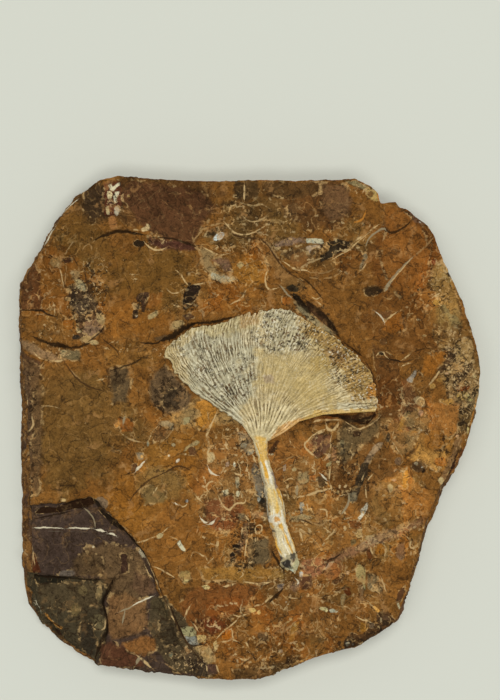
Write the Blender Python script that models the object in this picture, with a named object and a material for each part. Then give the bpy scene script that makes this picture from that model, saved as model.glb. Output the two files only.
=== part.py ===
"""Fossil ginkgo leaf: a mineralised leaf, lying face up in the split face of a small slab of ochre rock."""

import math

import bmesh
import bpy
import numpy as np
from mathutils import Vector, noise

NAME = "fossil_ginkgo_leaf"
MM = 0.001

# Driving dimensions, all in millimetres.
# x runs to the right, y to the slab's upper edge, and z up from the flat underside.
FACE_HEIGHT = 4.10  # the split face over the underside
CHIP_DEPTH = 0.55  # how far the corner is broken down, to the purple layer
DEEP_CHIP_DEPTH = 1.05  # and at the very corner, to the dark layer under it
CREVICE_DEPTH = 0.50  # the gouge under the leaf's lower right margin
SWELL = 0.11  # gentle waves of the split face
ROUGHNESS = 0.07  # small lumps on it
EDGE_WEAR = 0.26  # how far the face drops at its worn rim
EDGE_WEAR_WIDTH = 0.05  # the worn rim's width, as a share of the distance to the centre
LEAF_RISE = 0.05  # the blade over the face
LEAF_THICKNESS = 0.40
LEAF_GAP = 0.15  # clearance between the leaf and its bed, beside it and under it
VEIN_RELIEF = 0.055  # a vein ridge over the blade, and a furrow under it
PIT_DEPTH = 0.09  # the small pits in the furrows of the blade's upper and right parts
STALK_RISE = 0.24  # the stalk's crown over the face
LEDGE_SOFTNESS = 0.35  # the width over which a ledge climbs

# How finely the shapes are divided.
FACE_CELLS = 28  # cells from the slab's centre to its edge
BLADE_ROWS = 13
STALK_ROWS = 8
STALK_COLUMNS = 6
VEIN_FORKS = (0.07, 0.15, 0.40, 0.66)  # how far out the veins fork, as a share of the blade's length
PITTED_FROM = (0.36, 0.55)  # the pits begin this far across the blade, and this far out along it

# The face's edge, clockwise from the upper left corner: x, y, and how far the underside reaches beyond it.
SLAB_EDGE = (
    (-14.3, 14.8, 0.8), (-12.8, 16.9, 0.7), (-11.0, 18.1, 0.5), (-9.7, 18.4, 0.3), (-5.3, 18.1, 0.3),
    (5.3, 18.1, 0.3), (7.7, 18.2, 0.3), (8.8, 17.7, 0.3), (9.4, 17.1, 0.3), (9.6, 16.4, 0.3),
    (10.7, 16.5, 0.3), (11.0, 16.1, 0.3), (11.5, 16.0, 0.3), (13.1, 14.8, 0.3), (13.5, 14.1, 0.3),
    (14.4, 11.7, 0.3), (15.6, 9.2, 0.3), (16.1, 7.5, 0.3), (16.7, 5.4, 0.3), (16.9, 3.9, 0.3),
    (16.8, 2.4, 0.4), (16.3, 0.3, 0.5), (15.6, -1.8, 0.7), (15.0, -2.9, 0.8), (13.9, -4.4, 0.9),
    (12.9, -6.8, 0.9), (12.3, -8.9, 0.8), (11.7, -11.2, 0.8), (11.2, -12.6, 0.7), (10.9, -13.7, 0.6),
    (10.2, -14.6, 0.6), (9.1, -15.2, 0.5), (8.0, -15.9, 0.5), (5.1, -16.7, 0.5), (2.2, -17.8, 0.5),
    (0.4, -18.4, 0.5), (-4.2, -18.3, 0.5), (-6.6, -18.0, 0.5), (-9.5, -17.7, 0.6), (-11.1, -17.4, 0.8),
    (-13.4, -15.6, 1.2), (-14.8, -14.2, 1.2), (-15.7, -13.1, 1.2), (-16.0, -10.4, 1.3), (-16.1, -3.1, 1.3),
    (-16.3, 1.2, 1.2), (-16.7, 6.0, 0.8), (-16.8, 9.3, 0.8), (-16.7, 10.5, 0.8), (-15.3, 12.9, 0.8),
)
SQUARE_CORNERS = (0, 12, 29, 41)  # the points of SLAB_EDGE that take the corners of the face's square grid

# Rings down the slab's side: the share of the face's height, and the share of the underside's reach.
SIDE_RINGS = ((0.80, 0.16), (0.52, 0.36), (0.22, 0.86), (0.0, 1.0))

# Ledges where a layer of the rock ends. The higher side is on the left along each path.
# Each has its rise and how far back the raised layer reaches.
LEDGES = (
    (((-17.4, 5.8), (-13.9, 5.8), (-10.2, 6.0), (-8.0, 5.6), (-6.6, 5.8), (-5.3, 6.7), (-3.7, 7.7),
      (-1.3, 7.8), (0.9, 8.8)), 0.28, 5.0),
    (((-12.6, 14.3), (-11.3, 14.0), (-8.8, 14.4), (-7.0, 13.4), (-4.4, 13.2), (-2.3, 14.2)), 0.24, 6.0),
    (((2.2, 10.9), (4.4, 12.0), (7.3, 13.9), (10.6, 16.6)), 0.24, 4.0),
    (((4.6, 11.0), (7.4, 11.8), (9.2, 13.6), (12.4, 14.6)), 0.20, 2.6),
    (((2.3, 10.3), (3.6, 9.3), (5.0, 8.2), (6.9, 6.2), (8.6, 4.9), (9.5, 3.0), (9.6, 1.6)), 0.20, 3.0),
    (((8.8, 0.0), (8.9, -2.6), (7.0, -5.0), (5.5, -8.4)), 0.22, 3.5),
    (((16.4, 6.6), (14.0, 5.2), (12.8, 2.4), (14.2, -1.0), (13.4, -3.4)), 0.24, 2.5),
    (((-3.0, -9.9), (-1.0, -10.1), (2.2, -9.9), (6.5, -7.6), (11.4, -6.4)), 0.18, 3.0),
    (((-5.2, -16.6), (-1.6, -14.8), (1.4, -12.7), (2.9, -11.2), (5.6, -9.6)), 0.16, 2.4),
)

# The broken corner's two layers and the gouge, each as the outline of what has gone.
CHIP = (
    (-20.0, -5.9), (-16.0, -5.8), (-13.9, -5.7), (-11.8, -5.1), (-11.0, -5.5), (-10.2, -6.5),
    (-9.3, -7.3), (-8.3, -8.3), (-7.4, -9.7), (-6.9, -11.5), (-6.2, -13.2), (-5.3, -15.6),
    (-4.2, -17.3), (-3.2, -20.5), (-20.0, -20.5),
)
DEEP_CHIP = (
    (-20.0, -10.7), (-16.0, -10.8), (-13.9, -11.0), (-11.3, -11.1), (-10.0, -11.3), (-10.3, -12.1),
    (-10.8, -12.6), (-10.6, -13.5), (-10.4, -14.5), (-10.7, -15.6), (-11.2, -17.2), (-11.8, -20.5),
    (-20.0, -20.5),
)
CREVICE = (
    (3.4, 0.5), (5.3, 1.0), (6.7, 1.05), (9.3, 1.15), (9.5, 0.6), (8.6, 0.2), (7.8, -0.1), (7.0, 0.2),
    (5.8, 0.4), (4.2, 0.1),
)

# The leaf's blade. Two margins start at the stalk, and the outer one runs from the left tip to the right.
LEFT_MARGIN = (
    (0.22, -1.0), (-0.6, 0.2), (-1.8, 0.95), (-3.1, 1.75), (-4.5, 2.85), (-5.5, 3.9), (-6.2, 5.0),
    (-6.3, 5.7),
)
RIGHT_MARGIN = ((1.31, -1.05), (2.5, -0.4), (3.6, 0.4), (5.3, 0.9), (6.7, 1.0), (9.35, 1.15))
OUTER_MARGIN = (
    (-6.3, 5.7), (-5.5, 6.4), (-4.1, 7.4), (-3.3, 7.5), (-1.8, 7.7), (-1.0, 8.2), (0.5, 8.5), (1.8, 8.7),
    (3.1, 8.6), (3.9, 8.0), (5.7, 7.0), (6.8, 6.2), (8.0, 5.1), (8.9, 4.0), (9.35, 2.5), (9.35, 1.15),
)
# The stalk's sections, from its broken end up to the blade: left x, right x, y.
STALK = (
    (2.4, 3.2, -10.5), (1.95, 3.6, -10.0), (2.05, 3.4, -9.2), (1.7, 3.2, -8.2), (1.3, 2.65, -6.8),
    (1.2, 2.4, -5.3), (0.9, 1.85, -3.9), (0.45, 1.25, -1.9), (0.22, 1.31, -1.02),
)

ROCK_COLOUR = (0.195, 0.095, 0.026)
LEAF_COLOUR = (0.46, 0.36, 0.18)


def clear_scene():
    for obj in list(bpy.data.objects):
        bpy.data.objects.remove(obj, do_unlink=True)


def new_collection(name):
    collection = bpy.data.collections.new(name)
    bpy.context.scene.collection.children.link(collection)
    return collection


def stone_material(name, colour, roughness):
    material = bpy.data.materials.new(name)
    material.use_nodes = True
    shader = material.node_tree.nodes["Principled BSDF"]
    shader.inputs["Base Color"].default_value = (*colour, 1.0)
    shader.inputs["Roughness"].default_value = roughness
    shader.inputs["Metallic"].default_value = 0.0
    return material


def smooth(value):
    """0 below 0, 1 above 1, and an even climb between them."""
    t = min(max(value, 0.0), 1.0)
    return t * t * (3.0 - 2.0 * t)


def path_shares(points):
    """How far along a path each of its points lies, by length, from 0 to 1."""
    steps = np.linalg.norm(np.diff(points[:, :2], axis=0), axis=1)
    lengths = np.concatenate(([0.0], np.cumsum(steps)))
    return lengths / lengths[-1]


def along(points, share):
    """The point that lies this share of the way along a path, by length."""
    points = np.array(points, float)
    shares = path_shares(points)
    return np.array([np.interp(share, shares, column) for column in points.T])


def nearest_on(path, x, y):
    """(distance, side, share along) of a point to a path. The side is 1 on its left and -1 on its right."""
    best = (math.inf, 1.0, 0.0)
    spans = len(path) - 1
    for i in range(spans):
        (ax, ay), (bx, by) = path[i], path[i + 1]
        dx, dy = bx - ax, by - ay
        t = min(max(((x - ax) * dx + (y - ay) * dy) / (dx * dx + dy * dy), 0.0), 1.0)
        distance = math.hypot(x - ax - t * dx, y - ay - t * dy)
        if distance < best[0]:
            side = 1.0 if dx * (y - ay) - dy * (x - ax) > 0 else -1.0
            best = (distance, side, (i + t) / spans)
    return best


def ledge_height(x, y, path, rise, reach):
    """A layer that stands up along its path, sinks back behind it, and dies out at the path's two ends."""
    distance, side, share = nearest_on(path, x, y)
    if side < 0:
        return 0.0
    ends = smooth(share / 0.12) * smooth((1.0 - share) / 0.12)
    return rise * smooth(distance / LEDGE_SOFTNESS) * math.exp(-((distance / reach) ** 2)) * ends


def swell(x, y):
    """The gentle waves that the face and the leaf in it share."""
    return SWELL * noise.noise(Vector((x / 7.0, y / 7.0, 3.1)))


def face_height(x, y):
    """The split face's height before anything is broken or cut from it."""
    height = FACE_HEIGHT + swell(x, y)
    height += ROUGHNESS * noise.noise(Vector((x / 1.6, y / 1.6, 8.7)))
    for path, rise, reach in LEDGES:
        height += ledge_height(x, y, path, rise, reach)
    return height


def edge_point(place):
    """x, y and reach of the slab's edge.

    A place runs from 0 to 4, one for each side of the square grid, clockwise from the upper left corner.
    """
    side = min(int(place), 3)
    first = SQUARE_CORNERS[side]
    last = SQUARE_CORNERS[side + 1] if side < 3 else len(SLAB_EDGE)
    stretch = (SLAB_EDGE + SLAB_EDGE[:1])[first:last + 1]
    return along(stretch, place - side)


def snapped_places():
    """A place for each cell of the grid's rim, with the nearest one moved onto each corner of the edge."""
    cells = 2 * FACE_CELLS
    places = np.arange(4 * cells + 1) / cells
    for side in range(4):
        first = SQUARE_CORNERS[side]
        last = SQUARE_CORNERS[side + 1] if side < 3 else len(SLAB_EDGE)
        stretch = np.array((SLAB_EDGE + SLAB_EDGE[:1])[first:last + 1])
        for share in path_shares(stretch)[1:-1]:
            nearest = side * cells + int(round(share * cells))
            places[nearest] = side + share
    return places


def rim_place(a, b):
    """The place, as above, where the ray from the square's middle through a point of it meets its rim."""
    reach = max(abs(a), abs(b))
    a, b = a / reach, b / reach
    if b >= 1.0 and a < 1.0:
        return (a + 1.0) / 2.0
    if a >= 1.0 and b > -1.0:
        return 1.0 + (1.0 - b) / 2.0
    if b <= -1.0 and a > -1.0:
        return 2.0 + (1.0 - a) / 2.0
    return 3.0 + (b + 1.0) / 2.0


def finish_mesh(bm, name, material, collection):
    bmesh.ops.recalc_face_normals(bm, faces=bm.faces)
    mesh = bpy.data.meshes.new(name)
    bm.to_mesh(mesh)
    bm.free()
    mesh.materials.append(material)
    obj = bpy.data.objects.new(name, mesh)
    collection.objects.link(obj)
    return obj


def slab_centre():
    """The middle of the underside's box, which becomes the object's origin."""
    reaching = [underside_point(place) for place in snapped_places()]
    return (np.max(reaching, axis=0) + np.min(reaching, axis=0)) / 2.0


def outward(place):
    """The direction straight out from the slab's edge."""
    step = 0.02
    before, after = edge_point((place - step) % 4.0)[:2], edge_point((place + step) % 4.0)[:2]
    tangent = (after - before) / np.linalg.norm(after - before)
    return np.array((-tangent[1], tangent[0]))


def underside_point(place):
    x, y, reach = edge_point(place % 4.0)
    return np.array((x, y)) + reach * outward(place % 4.0)


def shape_face(bm, places):
    """Bends the flat square grid into the split face. Gives back each rim vertex's place along the edge."""
    cells = 2 * FACE_CELLS
    rim = {}
    for vertex in bm.verts:
        a, b = vertex.co.x, vertex.co.y
        reach = max(abs(a), abs(b))
        if reach < 1e-6:
            x, y, place = 0.0, 0.0, 0.0
        else:
            place = np.interp(rim_place(a, b) * cells, np.arange(4 * cells + 1), places)
            x, y = reach * edge_point(place)[:2]
        height = face_height(x, y)
        height -= EDGE_WEAR * smooth((reach - 1.0 + EDGE_WEAR_WIDTH) / EDGE_WEAR_WIDTH)
        vertex.co = Vector((x, y, height))
        if reach > 1.0 - 1e-6:
            rim[vertex] = place
    return rim


def side_point(place, top, low, share):
    """A point of the slab's broken side, under the rim vertex at this place."""
    x, y, reach = edge_point(place % 4.0)
    away = outward(place % 4.0)
    lump = 0.35 * noise.noise(Vector((x / 1.3, y / 1.3, 5.0 * low)))
    out = reach * (share if low == 0.0 else max(0.0, share + lump))
    height = top * low * (1.0 if low == 0.0 else 1.0 + 0.12 * lump)
    return Vector((x + out * away[0], y + out * away[1], height))


def make_rock(material, collection):
    """The slab: a square grid bent to the face, drawn down ring by ring to a flat underside."""
    bm = bmesh.new()
    bmesh.ops.create_grid(bm, x_segments=2 * FACE_CELLS, y_segments=2 * FACE_CELLS, size=1.0)
    rim = shape_face(bm, snapped_places())
    tops = {vertex: vertex.co.z for vertex in rim}
    edges = [edge for edge in bm.edges if edge.is_boundary]
    for low, share in SIDE_RINGS:
        drawn = bmesh.ops.extrude_edge_only(bm, edges=edges)["geom"]
        edges = [item for item in drawn if isinstance(item, bmesh.types.BMEdge)]
        below = {item for item in drawn if isinstance(item, bmesh.types.BMVert)}
        next_rim, next_tops = {}, {}
        for vertex in below:
            above = next(e.other_vert(vertex) for e in vertex.link_edges if e.other_vert(vertex) in rim)
            next_rim[vertex], next_tops[vertex] = rim[above], tops[above]
        for vertex in below:
            vertex.co = side_point(next_rim[vertex], next_tops[vertex], low, share)
        rim, tops = next_rim, next_tops
    bmesh.ops.contextual_create(bm, geom=edges)
    return finish_mesh(bm, "rock_matrix", material, collection)


def blade_point(u, w):
    """A point of the blade, u across it from the left margin, and w along it from the stalk."""
    near = (1.0 - u) * np.array(LEFT_MARGIN[0]) + u * np.array(RIGHT_MARGIN[0])
    far = (1.0 - u) * np.array(OUTER_MARGIN[0]) + u * np.array(OUTER_MARGIN[-1])
    sides = (1.0 - u) * along(LEFT_MARGIN, w) + u * along(RIGHT_MARGIN, w)
    return w * (along(OUTER_MARGIN, u) - far) + sides


def stalk_point(u, w):
    """A point of the stalk: u across it, w from its broken end to the blade."""
    left, right, y = along(STALK, w)
    return np.array((left + u * (right - left), y))


def fork_level(w):
    """How many times the veins have forked this far out along the blade."""
    return sum(w > fork - 1e-6 for fork in VEIN_FORKS)


def pit_depth(u, w, column):
    """A pit in every other furrow, on alternate rows, inside the blade's margin."""
    across, out = PITTED_FROM
    row = round(w * BLADE_ROWS)
    pitted = across < u < 0.96 and out < w < 0.97
    return PIT_DEPTH if pitted and column % 2 == 0 and (column // 2 + row) % 2 else 0.0


def leaf_height(u, w):
    """The leaf's top over the swell of the face. Along the stalk w is 0 or less."""
    crown = STALK_RISE * (1.0 - (2.0 * u - 1.0) ** 2)
    if w <= 0.0:
        return FACE_HEIGHT + crown
    column = round(u * STALK_COLUMNS * 2 ** fork_level(w))
    ridge = 1.0 if column % 2 else -1.0
    level = FACE_HEIGHT + LEAF_RISE + VEIN_RELIEF * ridge - pit_depth(u, w, column)
    return level + (crown - LEAF_RISE) * (1.0 - smooth(w / 0.25))


def split_columns(bm, fork):
    """Halves every column of the grid that lies beyond a fork, as each vein there becomes two."""
    across = []
    for edge in bm.edges:
        first, last = edge.verts[0].co.y, edge.verts[1].co.y
        if abs(first - last) < 1e-6 and first > fork - 1e-6:
            across.append(edge)
    bmesh.ops.subdivide_edges(bm, edges=across, cuts=1, use_grid_fill=True)


def leaf_surface():
    """The leaf's top, as a grid whose columns are its veins."""
    bm = bmesh.new()
    rows = STALK_ROWS + BLADE_ROWS
    bmesh.ops.create_grid(bm, x_segments=STALK_COLUMNS, y_segments=rows, size=1.0)
    for vertex in bm.verts:
        row = round((vertex.co.y + 1.0) / 2.0 * rows) - STALK_ROWS
        along_leaf = row / BLADE_ROWS if row > 0 else row / STALK_ROWS
        vertex.co = Vector(((vertex.co.x + 1.0) / 2.0, along_leaf, 0.0))
    for fork in VEIN_FORKS:
        split_columns(bm, fork)
    for vertex in bm.verts:
        u, w = vertex.co.x, vertex.co.y
        x, y = stalk_point(u, 1.0 + w) if w <= 0.0 else blade_point(u, w)
        vertex.co = Vector((x, y, leaf_height(u, w) + swell(x, y)))
    return bm


def make_leaf(material, collection):
    """The leaf: its veined top drawn down to a flat back."""
    bm = leaf_surface()
    edges = [edge for edge in bm.edges if edge.is_boundary]
    drawn = bmesh.ops.extrude_edge_only(bm, edges=edges)["geom"]
    for item in drawn:
        if isinstance(item, bmesh.types.BMVert):
            item.co.z = FACE_HEIGHT + LEAF_RISE - LEAF_THICKNESS
    back_edges = [item for item in drawn if isinstance(item, bmesh.types.BMEdge)]
    bmesh.ops.contextual_create(bm, geom=back_edges)
    return finish_mesh(bm, "ginkgo_leaf", material, collection)


def leaf_outline():
    """The leaf's edge, as points in order."""
    left = [blade_point(0.0, row / BLADE_ROWS) for row in range(BLADE_ROWS)]
    columns = STALK_COLUMNS * 2 ** len(VEIN_FORKS)
    outer = [blade_point(column / columns, 1.0) for column in range(columns)]
    right = [blade_point(1.0, 1.0 - row / BLADE_ROWS) for row in range(BLADE_ROWS + 1)]
    down = [stalk_point(1.0, 1.0 - row / STALK_ROWS) for row in range(1, STALK_ROWS + 1)]
    up = [stalk_point(0.0, row / STALK_ROWS) for row in range(STALK_ROWS)]
    return left + outer + right + down + up


def grown(outline, by):
    """A clockwise outline moved outwards."""
    points = np.array(outline)
    towards, since = np.roll(points, -1, axis=0) - points, points - np.roll(points, 1, axis=0)
    towards /= np.linalg.norm(towards, axis=1)[:, None]
    since /= np.linalg.norm(since, axis=1)[:, None]
    normals = np.stack((-(towards + since)[:, 1], (towards + since)[:, 0]), axis=1)
    normals /= np.linalg.norm(normals, axis=1)[:, None]
    return points + by * normals


def make_cutter(name, outline, floor, collection, tilt=(0.0, 0.0)):
    """A tool that removes all that lies over an outline and above a floor, which may slope by tilt."""
    bm = bmesh.new()
    middle = np.mean(np.array(outline), axis=0)
    ring = []
    for x, y in outline:
        height = floor + tilt[0] * (x - middle[0]) + tilt[1] * (y - middle[1])
        ring.append(bm.verts.new((x, y, height)))
    bottom = bm.faces.new(ring)
    drawn = bmesh.ops.extrude_face_region(bm, geom=[bottom])["geom"]
    for item in drawn:
        if isinstance(item, bmesh.types.BMVert):
            item.co.z = 2.0 * FACE_HEIGHT
    cutter = finish_mesh(bm, name, bpy.data.materials["matrix_stone"], collection)
    cutter.hide_render = True
    cutter.display_type = "WIRE"
    return cutter


def cut_away(obj, cutter):
    modifier = obj.modifiers.new(cutter.name, "BOOLEAN")
    modifier.operation = "DIFFERENCE"
    modifier.solver = "EXACT"
    modifier.object = cutter


def break_corner(rock, collection):
    """The lower left corner, where two of the rock's layers have come off in steps."""
    cut_away(rock, make_cutter("chip", CHIP, FACE_HEIGHT - CHIP_DEPTH, collection, tilt=(0.012, 0.008)))
    floor = FACE_HEIGHT - DEEP_CHIP_DEPTH
    cut_away(rock, make_cutter("deep_chip", DEEP_CHIP, floor, collection, tilt=(0.02, 0.015)))


def place_at_origin(objects):
    """Moves the meshes from millimetres round the slab's middle to metres round the object's origin."""
    middle = slab_centre()
    for obj in objects:
        for vertex in obj.data.vertices:
            x, y, z = vertex.co
            vertex.co = Vector(((x - middle[0]) * MM, (y - middle[1]) * MM, z * MM))


def main():
    clear_scene()
    parts = new_collection(NAME)
    cutters = new_collection("cutters")
    rock = make_rock(stone_material("matrix_stone", ROCK_COLOUR, 0.8), parts)
    leaf = make_leaf(stone_material("leaf_mineral", LEAF_COLOUR, 0.7), parts)
    bed = FACE_HEIGHT + LEAF_RISE - LEAF_THICKNESS - LEAF_GAP
    break_corner(rock, cutters)
    cut_away(rock, make_cutter("crevice", CREVICE, FACE_HEIGHT - CREVICE_DEPTH, cutters))
    cut_away(rock, make_cutter("leaf_bed", grown(leaf_outline(), LEAF_GAP), bed, cutters))
    place_at_origin([rock, leaf, *cutters.objects])


main()
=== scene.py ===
"""Looks of the fossil ginkgo leaf: the rock's split face, the leaf that lies in it, and a plain pale table.

The slab's outline, its ledges and broken corner, and the leaf's margins are those of the part. The stains,
patches and lines were drawn from the photograph, as outlines and paths with one plain colour each.
"""

import math

import bpy
import numpy as np
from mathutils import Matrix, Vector, noise


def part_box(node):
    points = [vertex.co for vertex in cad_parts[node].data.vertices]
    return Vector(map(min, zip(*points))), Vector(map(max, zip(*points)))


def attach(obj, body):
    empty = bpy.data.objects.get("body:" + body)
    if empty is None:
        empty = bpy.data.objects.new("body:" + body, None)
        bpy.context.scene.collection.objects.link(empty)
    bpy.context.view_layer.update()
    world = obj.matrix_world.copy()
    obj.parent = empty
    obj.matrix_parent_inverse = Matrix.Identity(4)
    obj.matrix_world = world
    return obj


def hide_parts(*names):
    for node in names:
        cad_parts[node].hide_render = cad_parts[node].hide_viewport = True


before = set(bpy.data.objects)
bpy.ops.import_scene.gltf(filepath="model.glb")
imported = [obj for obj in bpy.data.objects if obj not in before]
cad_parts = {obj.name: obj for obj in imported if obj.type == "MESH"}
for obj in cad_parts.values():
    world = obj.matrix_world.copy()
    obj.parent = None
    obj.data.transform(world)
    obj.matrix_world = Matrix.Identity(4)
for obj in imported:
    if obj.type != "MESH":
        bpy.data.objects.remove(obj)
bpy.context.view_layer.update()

MM = 0.001

# Places are pixels of the photograph, x to the right and y down, or millimetres on the slab's face, y up.
PIXEL = 0.07305  # millimetres of the face under one pixel
ZERO_PIXEL = (250.0, 427.0)  # the pixel over the face's x = 0, y = 0
LEAF_LEFT = -6.3  # the leaf's lowest x and y on the face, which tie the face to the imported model
LEAF_FOOT = -10.5

# ---------------------------------------------------------- the slab's sizes, in millimetres, as in the part
FACE_HEIGHT = 4.10
CHIP_DEPTH = 0.55  # the broken corner's upper step, and its lower one
DEEP_CHIP_DEPTH = 1.05
CREVICE_DEPTH = 0.50  # the gouge under the blade's lower right margin
SWELL = 0.11  # the face's broad waves, and its smaller lumps
ROUGHNESS = 0.07
LEAF_RISE = 0.05
LEAF_THICKNESS = 0.40
STALK_RISE = 0.24
LEDGE_SOFTNESS = 0.35

# ---------------------------------------------------------- sizes that only the looks have, in millimetres
FLAKE_STEP = 0.055  # one thin layer's thickness
GRAIN_DEPTH = 0.055
RAGGED = 0.16  # how far the edges of the ledges and of the broken corner stray
CHIP_SOFTNESS = 0.22
BED_DEPTH = 0.25  # how far the rock lies back under the leaf

# x, y and how far the side flares out below, clockwise from the upper left.
SLAB_EDGE = (
    (-14.3, 14.8, 0.8), (-12.8, 16.9, 0.7), (-11.0, 18.1, 0.5), (-9.7, 18.4, 0.3), (-5.3, 18.1, 0.3),
    (5.3, 18.1, 0.3), (7.7, 18.2, 0.3), (8.8, 17.7, 0.3), (9.4, 17.1, 0.3), (9.6, 16.4, 0.3),
    (10.7, 16.5, 0.3), (11.0, 16.1, 0.3), (11.5, 16.0, 0.3), (13.1, 14.8, 0.3), (13.5, 14.1, 0.3),
    (14.4, 11.7, 0.3), (15.6, 9.2, 0.3), (16.1, 7.5, 0.3), (16.7, 5.4, 0.3), (16.9, 3.9, 0.3),
    (16.8, 2.4, 0.4), (16.3, 0.3, 0.5), (15.6, -1.8, 0.7), (15.0, -2.9, 0.8), (13.9, -4.4, 0.9),
    (12.9, -6.8, 0.9), (12.3, -8.9, 0.8), (11.7, -11.2, 0.8), (11.2, -12.6, 0.7), (10.9, -13.7, 0.6),
    (10.2, -14.6, 0.6), (9.1, -15.2, 0.5), (8.0, -15.9, 0.5), (5.1, -16.7, 0.5), (2.2, -17.8, 0.5),
    (0.4, -18.4, 0.5), (-4.2, -18.3, 0.5), (-6.6, -18.0, 0.5), (-9.5, -17.7, 0.6), (-11.1, -17.4, 0.8),
    (-13.4, -15.6, 1.2), (-14.8, -14.2, 1.2), (-15.7, -13.1, 1.2), (-16.0, -10.4, 1.3), (-16.1, -3.1, 1.3),
    (-16.3, 1.2, 1.2), (-16.7, 6.0, 0.8), (-16.8, 9.3, 0.8), (-16.7, 10.5, 0.8), (-15.3, 12.9, 0.8),
)
SQUARE_CORNERS = (0, 12, 29, 41)  # the points that the corners of the face's grid go to
SIDE_HEIGHTS = (0.0, 0.22, 0.52, 0.80, 1.0)  # shares of the face's height, and the reach of the side at each
SIDE_SHARES = (1.0, 0.86, 0.36, 0.16, 0.0)
# The side's noise: size (a share of the flare, and then millimetres), steps round the slab, seed and layers.
SIDE_LAYERS = ((0.30, 60, 70, 5), (0.22, 130, 80, 12), (0.12, 400, 95, 40))
SIDE_BREAKS = ((0.30, 44, 170, 6), (0.26, 120, 180, 6), (0.14, 330, 195, 40))

# Path, rise and reach: the rock stands higher on the path's left, and falls back over the reach.
LEDGES = (
    (((-17.4, 5.8), (-13.9, 5.8), (-10.2, 6.0), (-8.0, 5.6), (-6.6, 5.8), (-5.3, 6.7), (-3.7, 7.7),
      (-1.3, 7.8), (0.9, 8.8)), 0.28, 5.0),
    (((-12.6, 14.3), (-11.3, 14.0), (-8.8, 14.4), (-7.0, 13.4), (-4.4, 13.2), (-2.3, 14.2)), 0.24, 6.0),
    (((2.2, 10.9), (4.4, 12.0), (7.3, 13.9), (10.6, 16.6)), 0.24, 4.0),
    (((4.6, 11.0), (7.4, 11.8), (9.2, 13.6), (12.4, 14.6)), 0.2, 2.6),
    (((2.3, 10.3), (3.6, 9.3), (5.0, 8.2), (6.9, 6.2), (8.6, 4.9), (9.5, 3.0), (9.6, 1.6)), 0.2, 3.0),
    (((8.8, 0.0), (8.9, -2.6), (7.0, -5.0), (5.5, -8.4)), 0.22, 3.5),
    (((16.4, 6.6), (14.0, 5.2), (12.8, 2.4), (14.2, -1.0), (13.4, -3.4)), 0.24, 2.5),
    (((-3.0, -9.9), (-1.0, -10.1), (2.2, -9.9), (6.5, -7.6), (11.4, -6.4)), 0.18, 3.0),
    (((-5.2, -16.6), (-1.6, -14.8), (1.4, -12.7), (2.9, -11.2), (5.6, -9.6)), 0.16, 2.4),
)
# The outlines of the broken corner's two steps and of the gouge under the blade.
CHIP = (
    (-20.0, -5.9), (-16.0, -5.8), (-13.9, -5.7), (-11.8, -5.1), (-11.0, -5.5), (-10.2, -6.5), (-9.3, -7.3),
    (-8.3, -8.3), (-7.4, -9.7), (-6.9, -11.5), (-6.2, -13.2), (-5.3, -15.6), (-4.2, -17.3), (-3.2, -20.5),
    (-20.0, -20.5),
)
DEEP_CHIP = (
    (-20.0, -10.7), (-16.0, -10.8), (-13.9, -11.0), (-11.3, -11.1), (-10.0, -11.3), (-10.3, -12.1),
    (-10.8, -12.6), (-10.6, -13.5), (-10.4, -14.5), (-10.7, -15.6), (-11.2, -17.2), (-11.8, -20.5),
    (-20.0, -20.5),
)
CREVICE = (
    (3.4, 0.5), (5.3, 1.0), (6.7, 1.05), (9.3, 1.15), (9.5, 0.6), (8.6, 0.2), (7.8, -0.1), (7.0, 0.2),
    (5.8, 0.4), (4.2, 0.1),
)
# The blade's margins, outward from the stalk on both sides, and then from left to right.
LEFT_MARGIN = (
    (0.22, -1.0), (-0.6, 0.2), (-1.8, 0.95), (-3.1, 1.75), (-4.5, 2.85), (-5.5, 3.9), (-6.2, 5.0),
    (-6.3, 5.7),
)
RIGHT_MARGIN = ((1.31, -1.05), (2.5, -0.4), (3.6, 0.4), (5.3, 0.9), (6.7, 1.0), (9.35, 1.15))
OUTER_MARGIN = (
    (-6.3, 5.7), (-5.5, 6.4), (-4.1, 7.4), (-3.3, 7.5), (-1.8, 7.7), (-1.0, 8.2), (0.5, 8.5), (1.8, 8.7),
    (3.1, 8.6), (3.9, 8.0), (5.7, 7.0), (6.8, 6.2), (8.0, 5.1), (8.9, 4.0), (9.35, 2.5), (9.35, 1.15),
)
# The stalk's left side, right side and y, from its broken end up to the blade.
STALK = (
    (2.6, 3.5, -10.5), (2.15, 3.62, -10.0), (2.0, 3.5, -9.2), (1.7, 3.2, -8.2), (1.3, 2.65, -6.8),
    (1.2, 2.4, -5.3), (0.9, 1.85, -3.9), (0.45, 1.25, -1.9), (0.22, 1.31, -1.02),
)

# ---------------------------------------------------------- how finely the meshes are divided
FACE_CELLS = 144  # cells from the slab's centre to its edge
SIDE_RINGS = 12
STALK_ROWS = 140
BLADE_ROWS = 196
LEAF_COLUMNS = 32  # along the stalk, and doubled beyond each of these shares of the blade's length
COLUMN_SPLITS = (0.03, 0.08, 0.2, 0.45)
SHARP_ANGLE = 55  # edges bent by more degrees than this are sharp
FINE_FORKS = (0.07, 0.14, 0.30, 0.60)  # where the leaf's veins fork
FIRST_VEINS = 5

# ---------------------------------------------------------- colours, as the eye sees them (sRGB)
OCHRE_BROWN = (124, 84, 38)

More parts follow.
